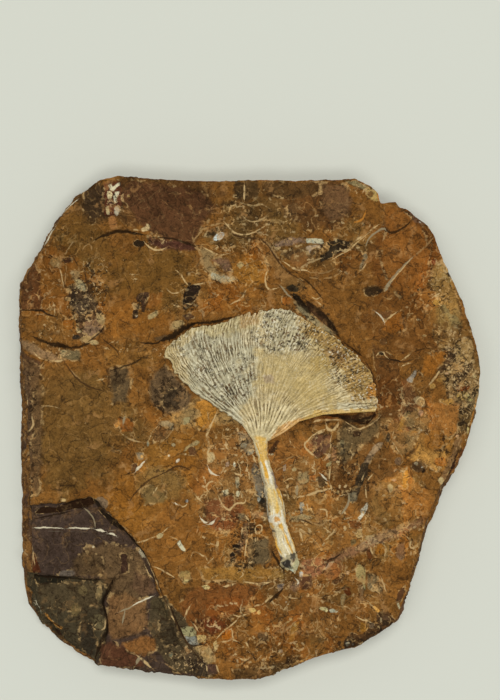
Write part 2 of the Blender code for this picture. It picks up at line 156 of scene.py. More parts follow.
# Broad stains with soft edges: (middle, half sizes, tilt) in pixels, colour, strength, softness in pixels.
STAINS = (
    ((158, 200, 66, 30, 0), (88, 60, 32), 0.9, 12), ((78, 240, 34, 24, -40), (106, 77, 36), 0.7, 12),
    ((96, 202, 20, 22, 0), (72, 54, 32), 0.7, 9), ((150, 278, 44, 34, 0), (108, 78, 35), 0.7, 14),
    ((134, 318, 28, 24, 0), (138, 90, 36), 0.7, 12), ((54, 328, 24, 18, 0), (122, 86, 42), 0.6, 8),
    ((248, 270, 14, 18, 20), (150, 100, 38), 0.75, 7), ((236, 300, 44, 14, 4), (136, 88, 36), 0.7, 8),
    ((268, 208, 34, 30, 0), (90, 62, 30), 0.75, 12), ((285, 226, 14, 16, 0), (112, 79, 36), 0.6, 6),
    ((320, 204, 34, 26, 0), (92, 62, 34), 0.8, 9), ((240, 225, 24, 22, 0), (96, 70, 36), 0.6, 9),
    ((340, 255, 30, 20, 0), (112, 80, 42), 0.6, 10), ((405, 250, 36, 44, -20), (107, 67, 29), 0.85, 10),
    ((450, 296, 14, 40, -18), (138, 106, 56), 0.7, 6), ((400, 320, 42, 34, -20), (109, 71, 32), 0.8, 12),
    ((84, 432, 58, 60, 0), (106, 79, 40), 0.8, 16), ((60, 385, 26, 22, 0), (112, 82, 42), 0.6, 10),
    ((130, 356, 22, 16, 0), (132, 94, 44), 0.7, 8), ((208, 414, 34, 15, 8), (178, 140, 84), 0.8, 9),
    ((155, 475, 62, 28, 40), (144, 97, 39), 0.75, 12), ((115, 515, 34, 20, -35), (142, 95, 37), 0.75, 10),
    ((185, 540, 44, 34, 20), (134, 90, 40), 0.6, 12), ((462, 380, 18, 46, 10), (132, 104, 62), 0.65, 8),
    ((404, 426, 36, 18, -10), (148, 113, 68), 0.6, 7), ((402, 400, 18, 22, 0), (128, 82, 50), 0.6, 7),
    ((436, 448, 26, 24, 0), (158, 112, 52), 0.65, 9), ((298, 462, 36, 28, 0), (154, 104, 52), 0.65, 10),
    ((360, 470, 34, 44, 40), (112, 78, 42), 0.5, 9), ((400, 500, 38, 22, -10), (166, 118, 60), 0.85, 9),
    ((400, 540, 36, 28, 0), (140, 98, 46), 0.65, 12), ((326, 522, 38, 34, 0), (160, 110, 54), 0.65, 10),
    ((228, 484, 30, 46, 0), (148, 104, 56), 0.65, 10), ((240, 573, 30, 10, 0), (142, 104, 50), 0.6, 6),
    ((300, 610, 44, 32, -25), (126, 82, 38), 0.6, 12), ((345, 595, 34, 26, -20), (132, 88, 40), 0.6, 10),
    ((246, 650, 40, 24, 0), (128, 88, 42), 0.65, 10),
)
WARMTH = (1.06, 1.02, 0.92)  # how much more or less red, green and blue the whole rock gives back

# The layers that the broken corner's two steps lay bare.
CHIP_COLOUR = (70, 56, 48)
DEEP_CHIP_COLOUR = (68, 60, 44)

# Patches with sharp edges: an outline, or (middle, half sizes, tilt), in pixels, then colour, strength and
# softness in pixels. A later one lies over an earlier one.
PATCHES = (
    (((118, 196), (130, 181), (160, 184), (200, 190), (214, 206), (204, 222), (194, 246), (180, 246),
      (165, 240), (150, 231), (139, 222), (128, 208)), (86, 57, 36), 0.85, 3),
    (((84, 190), (98, 182), (106, 192), (104, 214), (92, 222), (82, 206)), (60, 46, 32), 0.7, 4),
    (((104, 183), (121, 182), (122, 204), (116, 216), (104, 216)), (88, 46, 32), 0.8, 2),
    (((107.5, 184), (110.7, 184), (112.7, 187), (117, 183.6), (120, 182), (120, 185), (116, 188),
      (112.7, 191.5), (109.5, 189)), (206, 196, 166), 0.95, 1),
    (((107, 191), (110, 191), (113, 193.5), (110.7, 199), (108, 199.3), (107, 196)), (204, 186, 144), 0.95,
     1),
    (((115, 191.7), (120.3, 191), (118.5, 195.7), (116, 199), (118, 203), (114.3, 202.5), (113, 197)),
     (204, 196, 168), 0.95, 1),
    (((108.3, 200.5), (112.3, 201.3), (112.3, 205.3), (109.6, 205)), (164, 122, 100), 0.9, 1),
    (((105.4, 206), (107.6, 206), (109.6, 210), (109.2, 215.2), (106.8, 214.4)), (204, 186, 142), 0.95, 1),
    (((114, 207), (117, 206), (120.4, 210), (117, 216.4), (114.3, 214)), (168, 158, 136), 0.95, 1),
    (((108, 217.3), (112.3, 215), (116, 218.3), (117.2, 226.4), (112.3, 230.4), (109, 226.4)), (154, 106, 60),
     0.9, 1),
    ((128.7, 196.2, 1.8, 1.6, 0), (150, 120, 70), 0.9, 1),
    (((141, 229), (147, 226), (146, 223.5), (150, 226), (148, 231), (142, 232)), (190, 168, 126), 0.9, 1),
    (((132.6, 241.6), (136.6, 239.2), (143.8, 240.8), (143.5, 245.7), (136.6, 246.5), (133, 245)),
     (44, 35, 24), 0.9, 1),
    (((148, 236), (158, 238), (176, 240), (186, 243), (198, 248), (190, 250), (176, 250), (160, 249),
      (150, 245)), (78, 48, 38), 0.85, 1.5),
    (((204, 234), (216, 226), (225, 225), (226, 230), (216, 235), (206, 236.5)), (62, 46, 26), 0.85, 1),
    ((219.4, 236, 6.8, 3.4, 33), (216, 214, 200), 0.99, 0.8),
    (((200, 248), (207, 249), (214, 254), (210, 260), (216, 268), (224, 275), (236, 279), (230, 282),
      (220, 282), (212, 279), (206, 271), (202, 261)), (142, 118, 80), 0.85, 1.5),
    (((210, 271), (220, 275), (236, 279), (230, 282), (220, 282), (212, 279)), (172, 166, 140), 0.85, 1),
    (((210, 260), (220, 257), (230, 260), (232, 271), (224, 271), (216, 264)), (116, 86, 64), 0.85, 1.5),
    (((236, 265), (240, 261), (244, 264), (240, 268)), (184, 158, 106), 0.8, 1),
    (((48, 263), (50, 258), (56, 257), (62, 262), (60, 267), (52, 267)), (132, 112, 76), 0.8, 1.5),
    (((60, 256), (70, 257), (72, 262), (64, 264)), (62, 42, 30), 0.85, 1.5),
    ((50, 256.5, 2.5, 2, 0), (50, 34, 20), 0.9, 1),
    (((68, 290), (80, 284), (90, 292), (98, 306), (104, 318), (104, 330), (96, 336), (88, 344), (80, 338),
      (78, 318), (70, 304)), (84, 66, 48), 0.8, 2),
    (((70, 286), (76, 288), (76, 304), (70, 306), (67, 296)), (58, 44, 32), 0.8, 1.5),
    (((86, 320), (98, 318), (104, 326), (98, 332), (90, 338), (84, 332)), (128, 104, 82), 0.85, 1.5),
    (((95, 313), (102, 312), (105, 320), (104, 328), (98, 322)), (158, 138, 98), 0.8, 1),
    (((74, 278), (80, 279), (86, 288), (84, 292), (77, 288)), (176, 160, 120), 0.85, 1),
    (((70, 272), (74, 270), (80, 272), (78, 279), (72, 280)), (146, 122, 84), 0.7, 1),
    ((68, 299, 3, 2.4, 0), (160, 134, 92), 0.8, 1),
    (((75, 327), (79, 328), (82, 332), (78, 333)), (186, 166, 122), 0.85, 1),
    (((82, 339), (90, 336), (92, 342), (86, 345)), (158, 132, 88), 0.8, 1),
    ((94.5, 342.5, 4.5, 2.6, 0), (174, 154, 110), 0.8, 1), ((76, 337.5, 4, 2.2, 0), (40, 38, 34), 0.85, 1),
    (((62, 320), (76, 320), (77, 330), (64, 331)), (130, 86, 36), 0.7, 2),
    (((19, 264), (32, 262), (40, 274), (41, 310), (19, 310)), (90, 59, 34), 0.9, 2),
    # This pale band is partly pale rock and partly painted light, where the ledge below the dark line above
    # it faces the lamps.
    (((20, 340), (30, 342), (40, 348), (48, 352), (58, 357), (62, 361), (52, 361), (42, 359), (34, 356),
      (27, 351), (20, 345)), (142, 114, 82), 0.85, 1),
    (((60, 350), (80, 350), (80, 360), (62, 359)), (112, 102, 74), 0.75, 1.5),
    ((64, 352, 3.5, 2, 0), (150, 138, 100), 0.8, 1),
    (((20, 352), (30, 357), (42, 361), (40, 372), (33, 383), (20, 388)), (84, 60, 42), 0.85, 2),
    (((188, 286), (195, 284), (201, 286), (198, 294), (195, 300), (190, 301), (187, 309), (183, 311),
      (182, 302), (184, 293)), (38, 28, 22), 0.95, 1),
    (((135, 299), (140, 293), (150, 292), (148, 300), (145, 306), (145, 312), (142, 311), (142, 303),
      (137, 301)), (68, 48, 35), 0.9, 1),
    (((131, 303), (136, 302), (141, 307), (138, 310), (133, 308)), (152, 126, 86), 0.85, 1),
    (((133, 310), (138, 310), (138, 318), (133, 319)), (52, 36, 26), 0.9, 1),
    ((136.5, 316, 1.1, 1, 0), (216, 206, 186), 0.95, 0.8),
    (((147, 318), (150, 315), (153, 313), (156, 310), (158, 313), (155, 317), (150, 320)), (166, 146, 102),
     0.85, 1),
    (((146, 300), (150, 294), (162, 292), (164, 300), (152, 310), (146, 308)), (134, 86, 37), 0.8, 3),
    (((182, 315), (190, 313), (195, 318), (186, 321)), (82, 58, 40), 0.8, 1),
    (((168, 332), (174, 322), (182, 320), (186, 324), (176, 330)), (172, 150, 104), 0.6, 1),
    (((155, 338), (166, 335), (172, 334), (166, 340), (156, 341)), (94, 74, 50), 0.8, 1),
    (((108, 370), (128, 367), (131, 381), (126, 402), (113, 404), (110, 384)), (82, 68, 48), 0.8, 3),
    (((150, 378), (165, 366), (178, 378), (192, 396), (188, 410), (166, 414), (150, 400)), (102, 83, 60), 0.8,
     3),
    (((164, 392), (176, 390), (180, 402), (172, 410), (162, 406)), (50, 42, 32), 0.65, 3),
    (((196, 402), (206, 398), (217, 408), (214, 426), (202, 430), (192, 418)), (184, 126, 50), 0.75, 2),
    (((24, 360), (38, 364), (42, 400), (42, 450), (39, 492), (24, 496)), (100, 76, 50), 0.8, 2),
    # These two dark bands along the slab's top edge are painted shadow of a cube that stands against that
    # edge.
    (((235, 180), (258, 181), (258, 196), (246, 200), (234, 196)), (70, 52, 30), 0.8, 2),
    (((262, 182), (320, 182), (320, 192), (300, 198), (270, 194)), (82, 60, 34), 0.7, 3),
    (((322, 184), (344, 184), (352, 200), (346, 216), (330, 222), (322, 212)), (106, 78, 52), 0.8, 2),
    (((344, 180), (356, 180), (368, 187), (366, 190), (354, 186)), (128, 118, 84), 0.8, 1.5),
    (((366, 189), (372, 187), (378, 190), (379, 200), (374, 202), (368, 197)), (178, 152, 94), 0.85, 1.5),
    ((370.5, 194, 3, 3, 0), (108, 78, 42), 0.85, 1),
    (((377, 189), (379.5, 192), (380, 201), (377.5, 199)), (172, 112, 42), 0.8, 1),
    (((262, 240), (270, 248), (278, 260), (286, 272), (306, 283), (300, 292), (284, 284), (268, 262),
      (258, 240)), (124, 92, 52), 0.6, 2),
    ((259, 273, 9, 12, 0), (154, 104, 42), 0.9, 1.5),
    (((276, 243), (284, 252), (304, 247), (316, 250), (306, 266), (290, 262), (282, 256)), (92, 66, 38), 0.8,
     1.5),
    (((290, 256), (304, 250), (312, 262), (300, 268), (290, 264)), (124, 84, 44), 0.8, 1.5),
    (((274, 244), (290, 237), (305, 238.5), (306, 243), (290, 245), (276, 248)), (136, 106, 82), 0.85, 1),
    (((305.8, 238.4), (322.4, 239), (324, 244.4), (306.3, 243)), (194, 188, 160), 0.95, 0.8),
    (((307, 246), (315, 245), (322, 246), (312, 250), (309, 255)), (168, 146, 124), 0.85, 1),
    (((326, 243), (337.5, 239), (349.5, 242), (350, 248), (340.5, 253), (333.5, 256), (321, 262),
      (320.5, 256), (330.5, 250)), (56, 46, 33), 0.9, 1),
    (((286, 287), (293, 284), (299, 288), (298, 292), (290, 292)), (48, 42, 30), 0.9, 1),
    (((292, 292), (300, 297), (305, 304), (312, 311), (306, 311), (299, 304), (293, 298)), (36, 32, 26), 0.95,
     1),
    (((293, 301), (300, 304), (308, 311), (316, 318), (326, 326), (336, 334), (330, 336), (318, 328),
      (306, 318), (298, 310)), (142, 130, 98), 0.85, 1),
    (((304, 299), (312, 304), (324, 313), (332, 322), (338, 332), (333, 331), (322, 322), (310, 312)),
     (66, 46, 30), 0.9, 1),
    (((282, 296), (292, 298), (290, 306), (283, 304)), (152, 94, 38), 0.85, 1),
    (((384, 216), (410, 212), (410, 224), (402, 229), (392, 232), (385, 227)), (86, 62, 36), 0.8, 2),
    (((392, 226), (400, 224), (404, 227), (396, 230)), (58, 46, 28), 0.8, 1),
    (((410, 212), (420, 216), (428, 222), (424, 226), (414, 222)), (110, 80, 58), 0.8, 1),
    ((421, 221.5, 2, 1, -60), (214, 206, 190), 0.9, 0.8),
    (((360, 270), (361, 264), (364, 256), (366, 252), (368.5, 256), (366, 262), (362, 268)), (140, 126, 98),
     0.85, 1),
    (((440, 266), (448, 268), (456, 286), (448, 290), (442, 278)), (144, 114, 64), 0.8, 2),
    ((434, 262, 3, 3, 0), (112, 50, 26), 0.7, 1.5), ((413.5, 264, 2.6, 3.4, 0), (140, 104, 60), 0.7, 1),
    (((384, 206), (402, 208), (424, 232), (430, 252), (424, 288), (404, 300), (388, 280), (380, 250),
      (386, 232)), (132, 85, 37), 0.8, 3),
    (((364, 288), (378, 286), (386, 290), (374, 296), (366, 295)), (56, 42, 26), 0.85, 1.5),
    (((434, 266), (444, 262), (458, 300), (462, 326), (452, 326), (440, 300), (430, 284)), (136, 112, 68),
     0.75, 3),
    (((372, 343), (398, 360), (402, 395), (398, 418), (380, 418), (378, 395), (376, 370)), (104, 69, 34), 0.9,
     2),
    (((448, 352), (462, 346), (476, 370), (478, 400), (468, 422), (454, 420), (448, 390)), (140, 112, 72),
     0.7, 3),
    (((255, 462), (261, 476), (268, 500), (266, 512), (257, 496), (251, 474)), (124, 116, 100), 0.8, 1.5),
    (((228, 520), (240, 514), (236, 540), (228, 544)), (150, 104, 52), 0.6, 2),
    (((188, 590), (215, 582), (262, 584), (246, 604), (222, 625), (206, 640), (188, 632), (180, 606)),
     (121, 76, 37), 0.8, 4),
    (((196, 620), (214, 616), (226, 624), (212, 636)), (100, 56, 34), 0.7, 4),
    (((206, 500), (232, 496), (244, 508), (236, 528), (216, 532), (204, 516)), (126, 74, 42), 0.7, 4),
    (((136, 474), (160, 466), (186, 476), (180, 498), (150, 502), (136, 490)), (122, 96, 54), 0.5, 5),
    (((232, 668), (262, 664), (300, 656), (296, 664), (262, 678), (236, 682)), (72, 55, 33), 0.6, 3),
    (((288, 584), (330, 556), (390, 530), (424, 518), (424, 524), (392, 538), (334, 564), (294, 590)),
     (150, 112, 84), 0.5, 2),
    (((300, 560), (320, 556), (330, 566), (316, 576), (302, 572)), (146, 98, 68), 0.6, 3),
    (((84, 548), (110, 544), (140, 552), (150, 575), (146, 600), (118, 604), (108, 590), (100, 575),
      (84, 566)), (104, 82, 56), 0.85, 3),
    (((150, 600), (164, 596), (180, 612), (202, 644), (214, 676), (172, 672), (156, 650), (148, 626)),
     (82, 70, 50), 0.9, 2),
    (((36, 585), (60, 584), (98, 586), (96, 606), (70, 612), (40, 604)), (80, 68, 48), 0.7, 3),
    (((22, 366), (28, 368), (31, 400), (31, 450), (30, 500), (22, 500)), (84, 64, 46), 0.85, 1.5),
    # This very dark band is partly the dark broken layer and partly painted shade on the drop from the face
    # to the broken corner's upper step.
    (((34, 514), (40, 507), (56, 508), (64, 504), (76, 500), (92, 497), (96, 503), (86, 508), (70, 510),
      (60, 513), (45, 514)), (42, 26, 14), 0.95, 1),
    # Painted shade at the foot of the drop from the face to the broken corner's upper step.
    (((92, 497), (96, 499), (104, 511), (118, 522), (126, 529), (122, 531), (110, 524), (98, 511)),
     (34, 26, 18), 0.9, 1),
    (((96, 498), (102, 497), (108, 501), (108, 507), (102, 508)), (128, 108, 86), 0.85, 1),
    ((64, 500, 2.6, 2, 0), (190, 162, 112), 0.85, 1),
    (((72, 560), (84, 553), (100, 556), (104, 570), (96, 578), (76, 576)), (84, 66, 44), 0.7, 3),
    ((93, 547, 1.5, 1.4, 0), (212, 202, 176), 0.95, 0.8),
    (((33, 553), (36, 560), (41, 573), (31, 574)), (76, 40, 22), 0.9, 1),
    ((66, 574, 8, 3, 0), (108, 98, 88), 0.6, 2),
    # Painted shadow that the upper step's edge casts on the broken corner's lower step.
    (((31, 576), (50, 577), (70, 579), (60, 584), (36, 585)), (34, 31, 22), 0.9, 1.5),
    ((82, 592, 4, 4, 0), (112, 98, 66), 0.5, 2.5), ((98, 595, 3, 6, 0), (128, 112, 78), 0.6, 1.5),
    (((42, 615), (46, 616), (52, 623), (62, 629), (60, 631), (50, 625), (43, 620)), (156, 110, 52), 0.9, 1),
    (((47, 625), (52, 626), (58, 632), (52, 633)), (112, 98, 68), 0.8, 1),
    ((46, 627, 1.5, 1, 0), (180, 170, 150), 0.85, 1),
    (((50, 633), (56, 633), (62, 638), (58, 643), (52, 638)), (50, 29, 19), 0.9, 1),
    (((80, 626), (92, 627), (96, 640), (94, 656), (86, 660), (80, 646)), (52, 46, 36), 0.8, 3),
    ((74, 612, 5, 6, 0), (112, 96, 62), 0.45, 2.5),
    (((90, 619), (98, 616), (104, 620), (104, 630), (94, 631)), (100, 90, 64), 0.65, 2),
    (((99, 646), (110, 641), (124, 648), (138, 654), (144, 668), (100, 667)), (88, 56, 38), 0.85, 2),
    (((110, 596), (126, 594), (146, 602), (147, 622), (142, 632), (126, 638), (112, 640), (106, 624)),
     (122, 90, 57), 0.85, 4),
    (((122, 644), (130, 641), (146, 636), (154, 640), (155, 650), (144, 656), (130, 651)), (138, 94, 50),
     0.85, 3),
    (((118, 419), (128, 418), (134, 424), (132, 432), (122, 431)), (138, 84, 34), 0.8, 1.5),
    (((114, 424), (119, 421), (121, 424), (116, 428)), (188, 134, 68), 0.8, 1),
    (((158, 425), (162, 421), (168, 420), (173, 424), (173, 430), (168, 427), (162, 426)), (164, 144, 108),
     0.85, 1),
    (((153, 432), (160, 427), (171, 430), (164, 439), (154, 443)), (112, 80, 46), 0.7, 1.5),
    ((148, 444, 1.2, 3, 0), (136, 132, 108), 0.85, 1),
    (((196, 412), (206, 409), (208, 420), (200, 430), (195, 424)), (178, 124, 50), 0.75, 2),
    (((176, 418), (184, 410), (196, 408), (200, 414), (190, 424), (182, 424)), (142, 118, 78), 0.7, 1.5),
    (((184, 418), (190, 417), (190, 423), (184, 424)), (160, 148, 106), 0.8, 1),
    ((173.5, 444.5, 2, 1.6, 0), (180, 158, 116), 0.9, 0.8),
    ((169, 455.5, 1.4, 1.4, 0), (204, 198, 178), 0.95, 0.8),
    ((178, 460.5, 3, 1.5, 45), (206, 200, 184), 0.95, 0.8),
    ((185.4, 454, 1.2, 1.2, 0), (210, 196, 160), 0.95, 0.8),
    (((188, 446), (196, 447), (196, 455), (189, 455)), (96, 66, 42), 0.8, 1.5),
    (((183, 451.5), (186, 447), (191, 443.5), (197, 440), (200, 442), (197, 445.5), (190, 447), (186, 451.5)),
     (172, 150, 104), 0.9, 0.8),
    (((136, 453), (143, 453), (144, 458), (138, 460)), (138, 122, 98), 0.8, 1),
    ((142, 456.5, 1.6, 1.6, 0), (204, 158, 94), 0.9, 0.8),
    (((131, 465), (137, 462), (137, 468), (132, 470)), (86, 62, 42), 0.8, 1.5),
    (((140, 490), (152, 486), (165, 492), (165, 503), (146, 504)), (116, 97, 60), 0.6, 3),
    (((209, 453), (213, 452), (215, 459), (211, 463), (208, 461)), (184, 158, 112), 0.9, 0.8),
    ((187, 501, 1.7, 1.6, 0), (184, 184, 178), 0.95, 0.8),
    (((140, 549), (145, 553), (146, 558), (142, 559), (138, 552)), (172, 162, 138), 0.85, 1),
    (((157, 535), (160, 533), (164, 533), (162, 537), (158, 538.5)), (172, 156, 116), 0.9, 0.8),
    (((177, 542), (180, 540), (186, 549), (185.4, 552), (181.5, 549)), (202, 198, 170), 0.95, 0.8),
    (((182, 571), (190, 570), (192, 580), (186, 583), (180, 577)), (166, 140, 86), 0.7, 1.5),
    ((187, 580, 3, 1.8, 0), (188, 168, 114), 0.85, 1),
    (((201, 585), (207, 584), (211, 587.5), (205, 589)), (194, 174, 120), 0.9, 0.8),
    (((120, 555), (127, 554), (127, 572), (121, 574)), (60, 40, 32), 0.8, 1.5),
    (((136, 572), (150, 576), (156, 592), (142, 598), (130, 588)), (100, 75, 54), 0.7, 3),
    (((150, 598), (166, 596), (174, 612), (168, 622), (152, 612)), (76, 66, 46), 0.8, 2),
    ((132, 556, 1.5, 4, -20), (132, 108, 76), 0.8, 1),
    (((160, 620), (176, 622), (178, 642), (166, 646), (158, 634)), (64, 55, 40), 0.7, 2),
    ((171, 655, 2, 3, 0), (112, 112, 92), 0.8, 1),
    (((184, 650), (193, 650), (194, 664), (186, 666)), (92, 76, 58), 0.7, 2),
    (((181, 627), (186, 625.5), (193, 626), (196.5, 630), (196, 636), (186, 637), (183, 633)),
     (154, 148, 110), 0.95, 0.8),
    (((184, 635), (190, 636), (196, 635), (198.5, 641), (200.5, 644), (193, 644.5), (188, 641)),
     (136, 138, 130), 0.95, 0.8),
    (((197, 634), (207, 634), (206, 641), (199, 642)), (178, 158, 108), 0.9, 0.8),
    (((194, 646), (203, 644), (212, 648), (216, 661), (208, 662), (200, 653)), (154, 130, 88), 0.85, 1),
    (((213, 642), (217, 638), (217.5, 648), (215, 651)), (188, 164, 114), 0.9, 0.8),
    (((195, 655), (206, 660), (210, 675), (196, 676), (190, 668)), (60, 50, 40), 0.85, 1.5),
    (((208, 663), (216, 662), (218, 673), (208, 674)), (82, 60, 50), 0.8, 1.5),
    (((220, 632), (231, 627), (233, 638), (221, 639)), (158, 100, 34), 0.85, 1),
    (((238, 432), (250, 434), (254, 448), (249, 456), (241, 448)), (134, 126, 106), 0.6, 1.5),
    (((226, 462), (229, 461), (229, 466), (225, 467)), (168, 138, 112), 0.85, 0.8),
    ((234.4, 464.5, 1.3, 3, 0), (212, 202, 172), 0.95, 0.8),
    (((222, 491), (228, 489.5), (228.5, 495), (223, 496)), (198, 182, 142), 0.9, 0.8),
    ((237.8, 493.5, 2, 3, 0), (202, 186, 146), 0.92, 0.8),
    (((236, 477), (239.5, 477), (238.5, 488), (236, 488)), (186, 166, 126), 0.85, 0.8),
    (((241, 442), (247, 444), (246, 449), (241, 447)), (150, 146, 128), 0.85, 1),
    (((246, 452), (254, 449), (254, 453), (248, 455)), (164, 160, 142), 0.85, 1),
    (((277, 440), (280, 441), (275, 449), (272, 456), (268, 453), (272, 446)), (78, 50, 28), 0.9, 1),
    ((271, 454.5, 3, 1, 0), (196, 180, 146), 0.85, 0.8),
    (((258, 496), (266, 498), (268, 510), (260, 511)), (88, 68, 42), 0.8, 1.5),
    ((262, 501, 3, 3, 0), (44, 38, 28), 0.85, 1), ((259, 499, 1.5, 2, 0), (170, 160, 138), 0.85, 1),
    (((283, 466), (286, 464), (286, 471), (283, 472)), (176, 152, 132), 0.85, 0.8),
    ((294, 469.5, 2.6, 2, 0), (178, 152, 104), 0.85, 1),
    (((299, 473), (308, 471), (309, 482), (300, 485), (298, 479)), (162, 132, 86), 0.85, 1),
    (((309, 475), (315, 475), (315, 481), (309, 480)), (176, 112, 56), 0.8, 1),
    (((318, 477), (326, 476), (327, 485), (319, 487)), (94, 74, 48), 0.8, 1.5),
    (((299, 502), (303, 503), (303, 515), (300, 514)), (150, 144, 128), 0.8, 1),
    ((302, 513, 1.3, 2, 0), (48, 42, 34), 0.9, 0.8),
    (((288, 512), (293, 516), (303, 513), (311, 517), (303, 519), (292, 521)), (162, 136, 92), 0.8, 1),
    ((288, 538, 1.5, 2.6, 0), (184, 182, 166), 0.9, 0.8),
    (((239, 514), (245, 512), (248, 519), (243, 522), (239, 520)), (116, 98, 72), 0.85, 1),
    ((239, 517, 1.4, 1.4, 0), (40, 30, 22), 0.9, 0.8),
    (((244, 521), (250, 523), (246, 540), (240, 552), (236, 550), (241, 535)), (98, 78, 58), 0.85, 1),
    (((249, 523), (255, 522), (256, 531), (250, 534)), (58, 44, 30), 0.8, 1.5),
    (((250, 512), (268, 511), (268, 518), (252, 519)), (164, 126, 86), 0.7, 1.5),
    (((248, 540), (268, 538), (272, 560), (262, 565), (246, 562)), (98, 84, 60), 0.85, 2),
    (((232, 544), (239, 544), (240, 548), (234, 549)), (34, 26, 20), 0.95, 0.8),
    (((230, 553), (234, 551), (236, 558), (235.5, 563), (231, 561)), (34, 26, 20), 0.95, 0.8),
    (((240, 559), (248, 563), (256, 562), (252, 568), (244, 566)), (48, 37, 25), 0.85, 1),
    (((200, 567), (236, 566), (280, 568), (286, 578), (250, 578), (204, 580)), (150, 110, 52), 0.6, 3),
    (((248, 607), (254, 607), (257, 610), (251, 611.5)), (188, 168, 108), 0.9, 0.8),
    ((259, 611.5, 2, 2.4, 0), (178, 158, 108), 0.85, 0.8),
    (((258, 632), (268, 632), (268, 640), (260, 641)), (82, 66, 46), 0.75, 1.5),
    ((266, 633, 1.5, 2, 0), (146, 130, 98), 0.85, 1), ((286, 601, 1, 1, 0), (192, 166, 132), 0.85, 0.8),
    ((288, 603.5, 0.9, 0.9, 0), (192, 166, 132), 0.85, 0.8),
    ((281, 650, 1.6, 1.6, 0), (150, 126, 106), 0.8, 1),
    (((299, 570), (303, 571), (302, 577), (299, 576)), (192, 186, 176), 0.9, 0.8),
    (((300, 576), (310, 575), (312, 588), (302, 589)), (74, 50, 36), 0.8, 1.5),
    (((277, 583), (285, 582), (282, 590), (277, 590)), (142, 122, 106), 0.7, 1),
    # The dark bands here are painted shade in the gouge under the blade's lower right margin.
    (((341, 415), (352, 416), (376, 412), (377, 416), (370, 422), (364, 425.5), (358, 423), (350, 419),
      (341, 419)), (58, 36, 20), 0.9, 1),
    (((360, 414), (374, 413), (370, 419), (362, 420)), (94, 66, 38), 0.8, 1),
    (((310, 417), (341, 415.5), (341, 419), (312, 420)), (112, 64, 27), 0.8, 1),
    (((308, 442), (316, 436), (330, 433), (331, 446), (326, 455), (316, 456), (309, 450)), (114, 76, 52),
     0.85, 1),
    (((332, 446), (336, 446), (336, 461), (332, 462)), (170, 116, 72), 0.75, 1.5),
    (((328, 452), (331, 455), (326, 462), (323, 460)), (192, 154, 110), 0.85, 0.8),
    (((326, 463), (332, 461), (331, 466), (326, 467)), (152, 142, 104), 0.85, 0.8),
    (((342, 421), (352, 424), (362, 429), (372, 425), (379, 420), (378, 431), (372, 441), (360, 446),
      (350, 459), (344, 463), (338, 455), (340, 440)), (106, 86, 56), 0.85, 1.5),
    (((353, 431), (361, 431), (361, 436), (354, 437)), (70, 48, 30), 0.8, 1),
    ((342, 443, 2.2, 3.2, 0), (148, 128, 88), 0.85, 1),
    (((378, 442), (382, 443), (376, 452), (369, 463), (364, 463), (370, 452)), (156, 132, 102), 0.8, 1),
    (((362, 463), (368, 463), (367, 474), (361, 486), (357, 498), (352, 503), (347, 498), (354, 485)),
     (62, 52, 38), 0.9, 1),
    (((336, 466), (352, 462), (358, 468), (352, 482), (342, 492), (334, 486)), (112, 76, 38), 0.7, 2),
    ((338, 492, 1.6, 2.2, 0), (172, 148, 104), 0.85, 0.8),
    (((347, 493), (356, 492), (356, 500), (349, 501)), (130, 120, 96), 0.6, 1),
    (((367, 502), (367.4, 508), (364, 514), (359, 519.5), (357.5, 517), (361, 513), (360, 510)),
     (204, 198, 178), 0.95, 0.8),
    (((388, 486), (393, 485), (393, 491), (389, 493)), (178, 148, 98), 0.9, 0.8),
    (((384, 424), (388, 425), (388, 431), (385, 430)), (50, 40, 28), 0.85, 1),
    (((386, 432), (390, 433), (389, 442), (386, 441)), (72, 62, 46), 0.8, 1),
    (((348, 520), (360, 520), (360, 527), (349, 527)), (112, 66, 32), 0.7, 1.5),
    (((355, 535), (360, 528.5), (361, 533), (361, 538), (357, 538)), (186, 150, 94), 0.85, 1),
    (((356, 547), (362, 541), (368, 537), (378, 535), (386, 529), (394, 529), (396, 532), (388, 535),
      (380, 540), (370, 545), (362, 550), (357, 550)), (160, 126, 88), 0.75, 1.5),
    (((396, 527), (402, 523), (409, 520.5), (410, 524), (404, 526), (397, 530)), (176, 138, 88), 0.8, 1),
    ((366.5, 541, 2, 1.6, 0), (130, 66, 26), 0.85, 0.8),
    (((350, 540), (355, 538), (356, 543), (351, 545)), (96, 84, 54), 0.7, 1),
    ((379, 549, 6, 6, 0), (142, 88, 28), 0.85, 1.5),
    (((365, 550), (370, 549), (371, 557), (370, 561), (368, 558), (366, 553)), (104, 62, 30), 0.85, 1),
    (((324, 568.5), (327, 563), (330, 561), (334, 560), (332, 564), (328, 567), (325, 570)), (190, 178, 156),
     0.9, 0.8),
    (((326, 564), (340, 558), (344, 566), (338, 576), (328, 580), (322, 574)), (142, 98, 60), 0.6, 2),
    (((332, 582), (338, 576), (344, 571), (345, 575), (340, 581), (334, 584)), (92, 62, 36), 0.8, 1),
    ((347, 572, 2, 2, 0), (196, 160, 120), 0.8, 1),
    (((341, 594), (345, 594), (345, 598), (343, 603), (341, 604)), (160, 130, 84), 0.8, 1),
    (((342, 588), (346, 586), (350, 588), (351, 593), (348, 596), (344, 592)), (96, 46, 16), 0.85, 1),
    (((356, 566), (359, 563), (361, 566), (365, 568), (365, 578), (365, 590), (363, 588), (362, 582),
      (358, 580), (356, 576)), (160, 142, 94), 0.9, 0.8),
    (((358, 583), (363, 584), (364, 600), (359, 602)), (128, 96, 62), 0.8, 1),
    (((367, 573), (374, 574), (380, 580), (384, 588), (380, 591), (372, 591), (367, 584)), (124, 104, 72),
     0.8, 1),
    (((396, 543), (404, 542), (405, 556), (400, 562), (396, 554)), (112, 88, 66), 0.75, 1.5),
    (((396, 601), (398, 602), (400, 607), (399.5, 610), (397, 606)), (178, 170, 138), 0.9, 0.8),
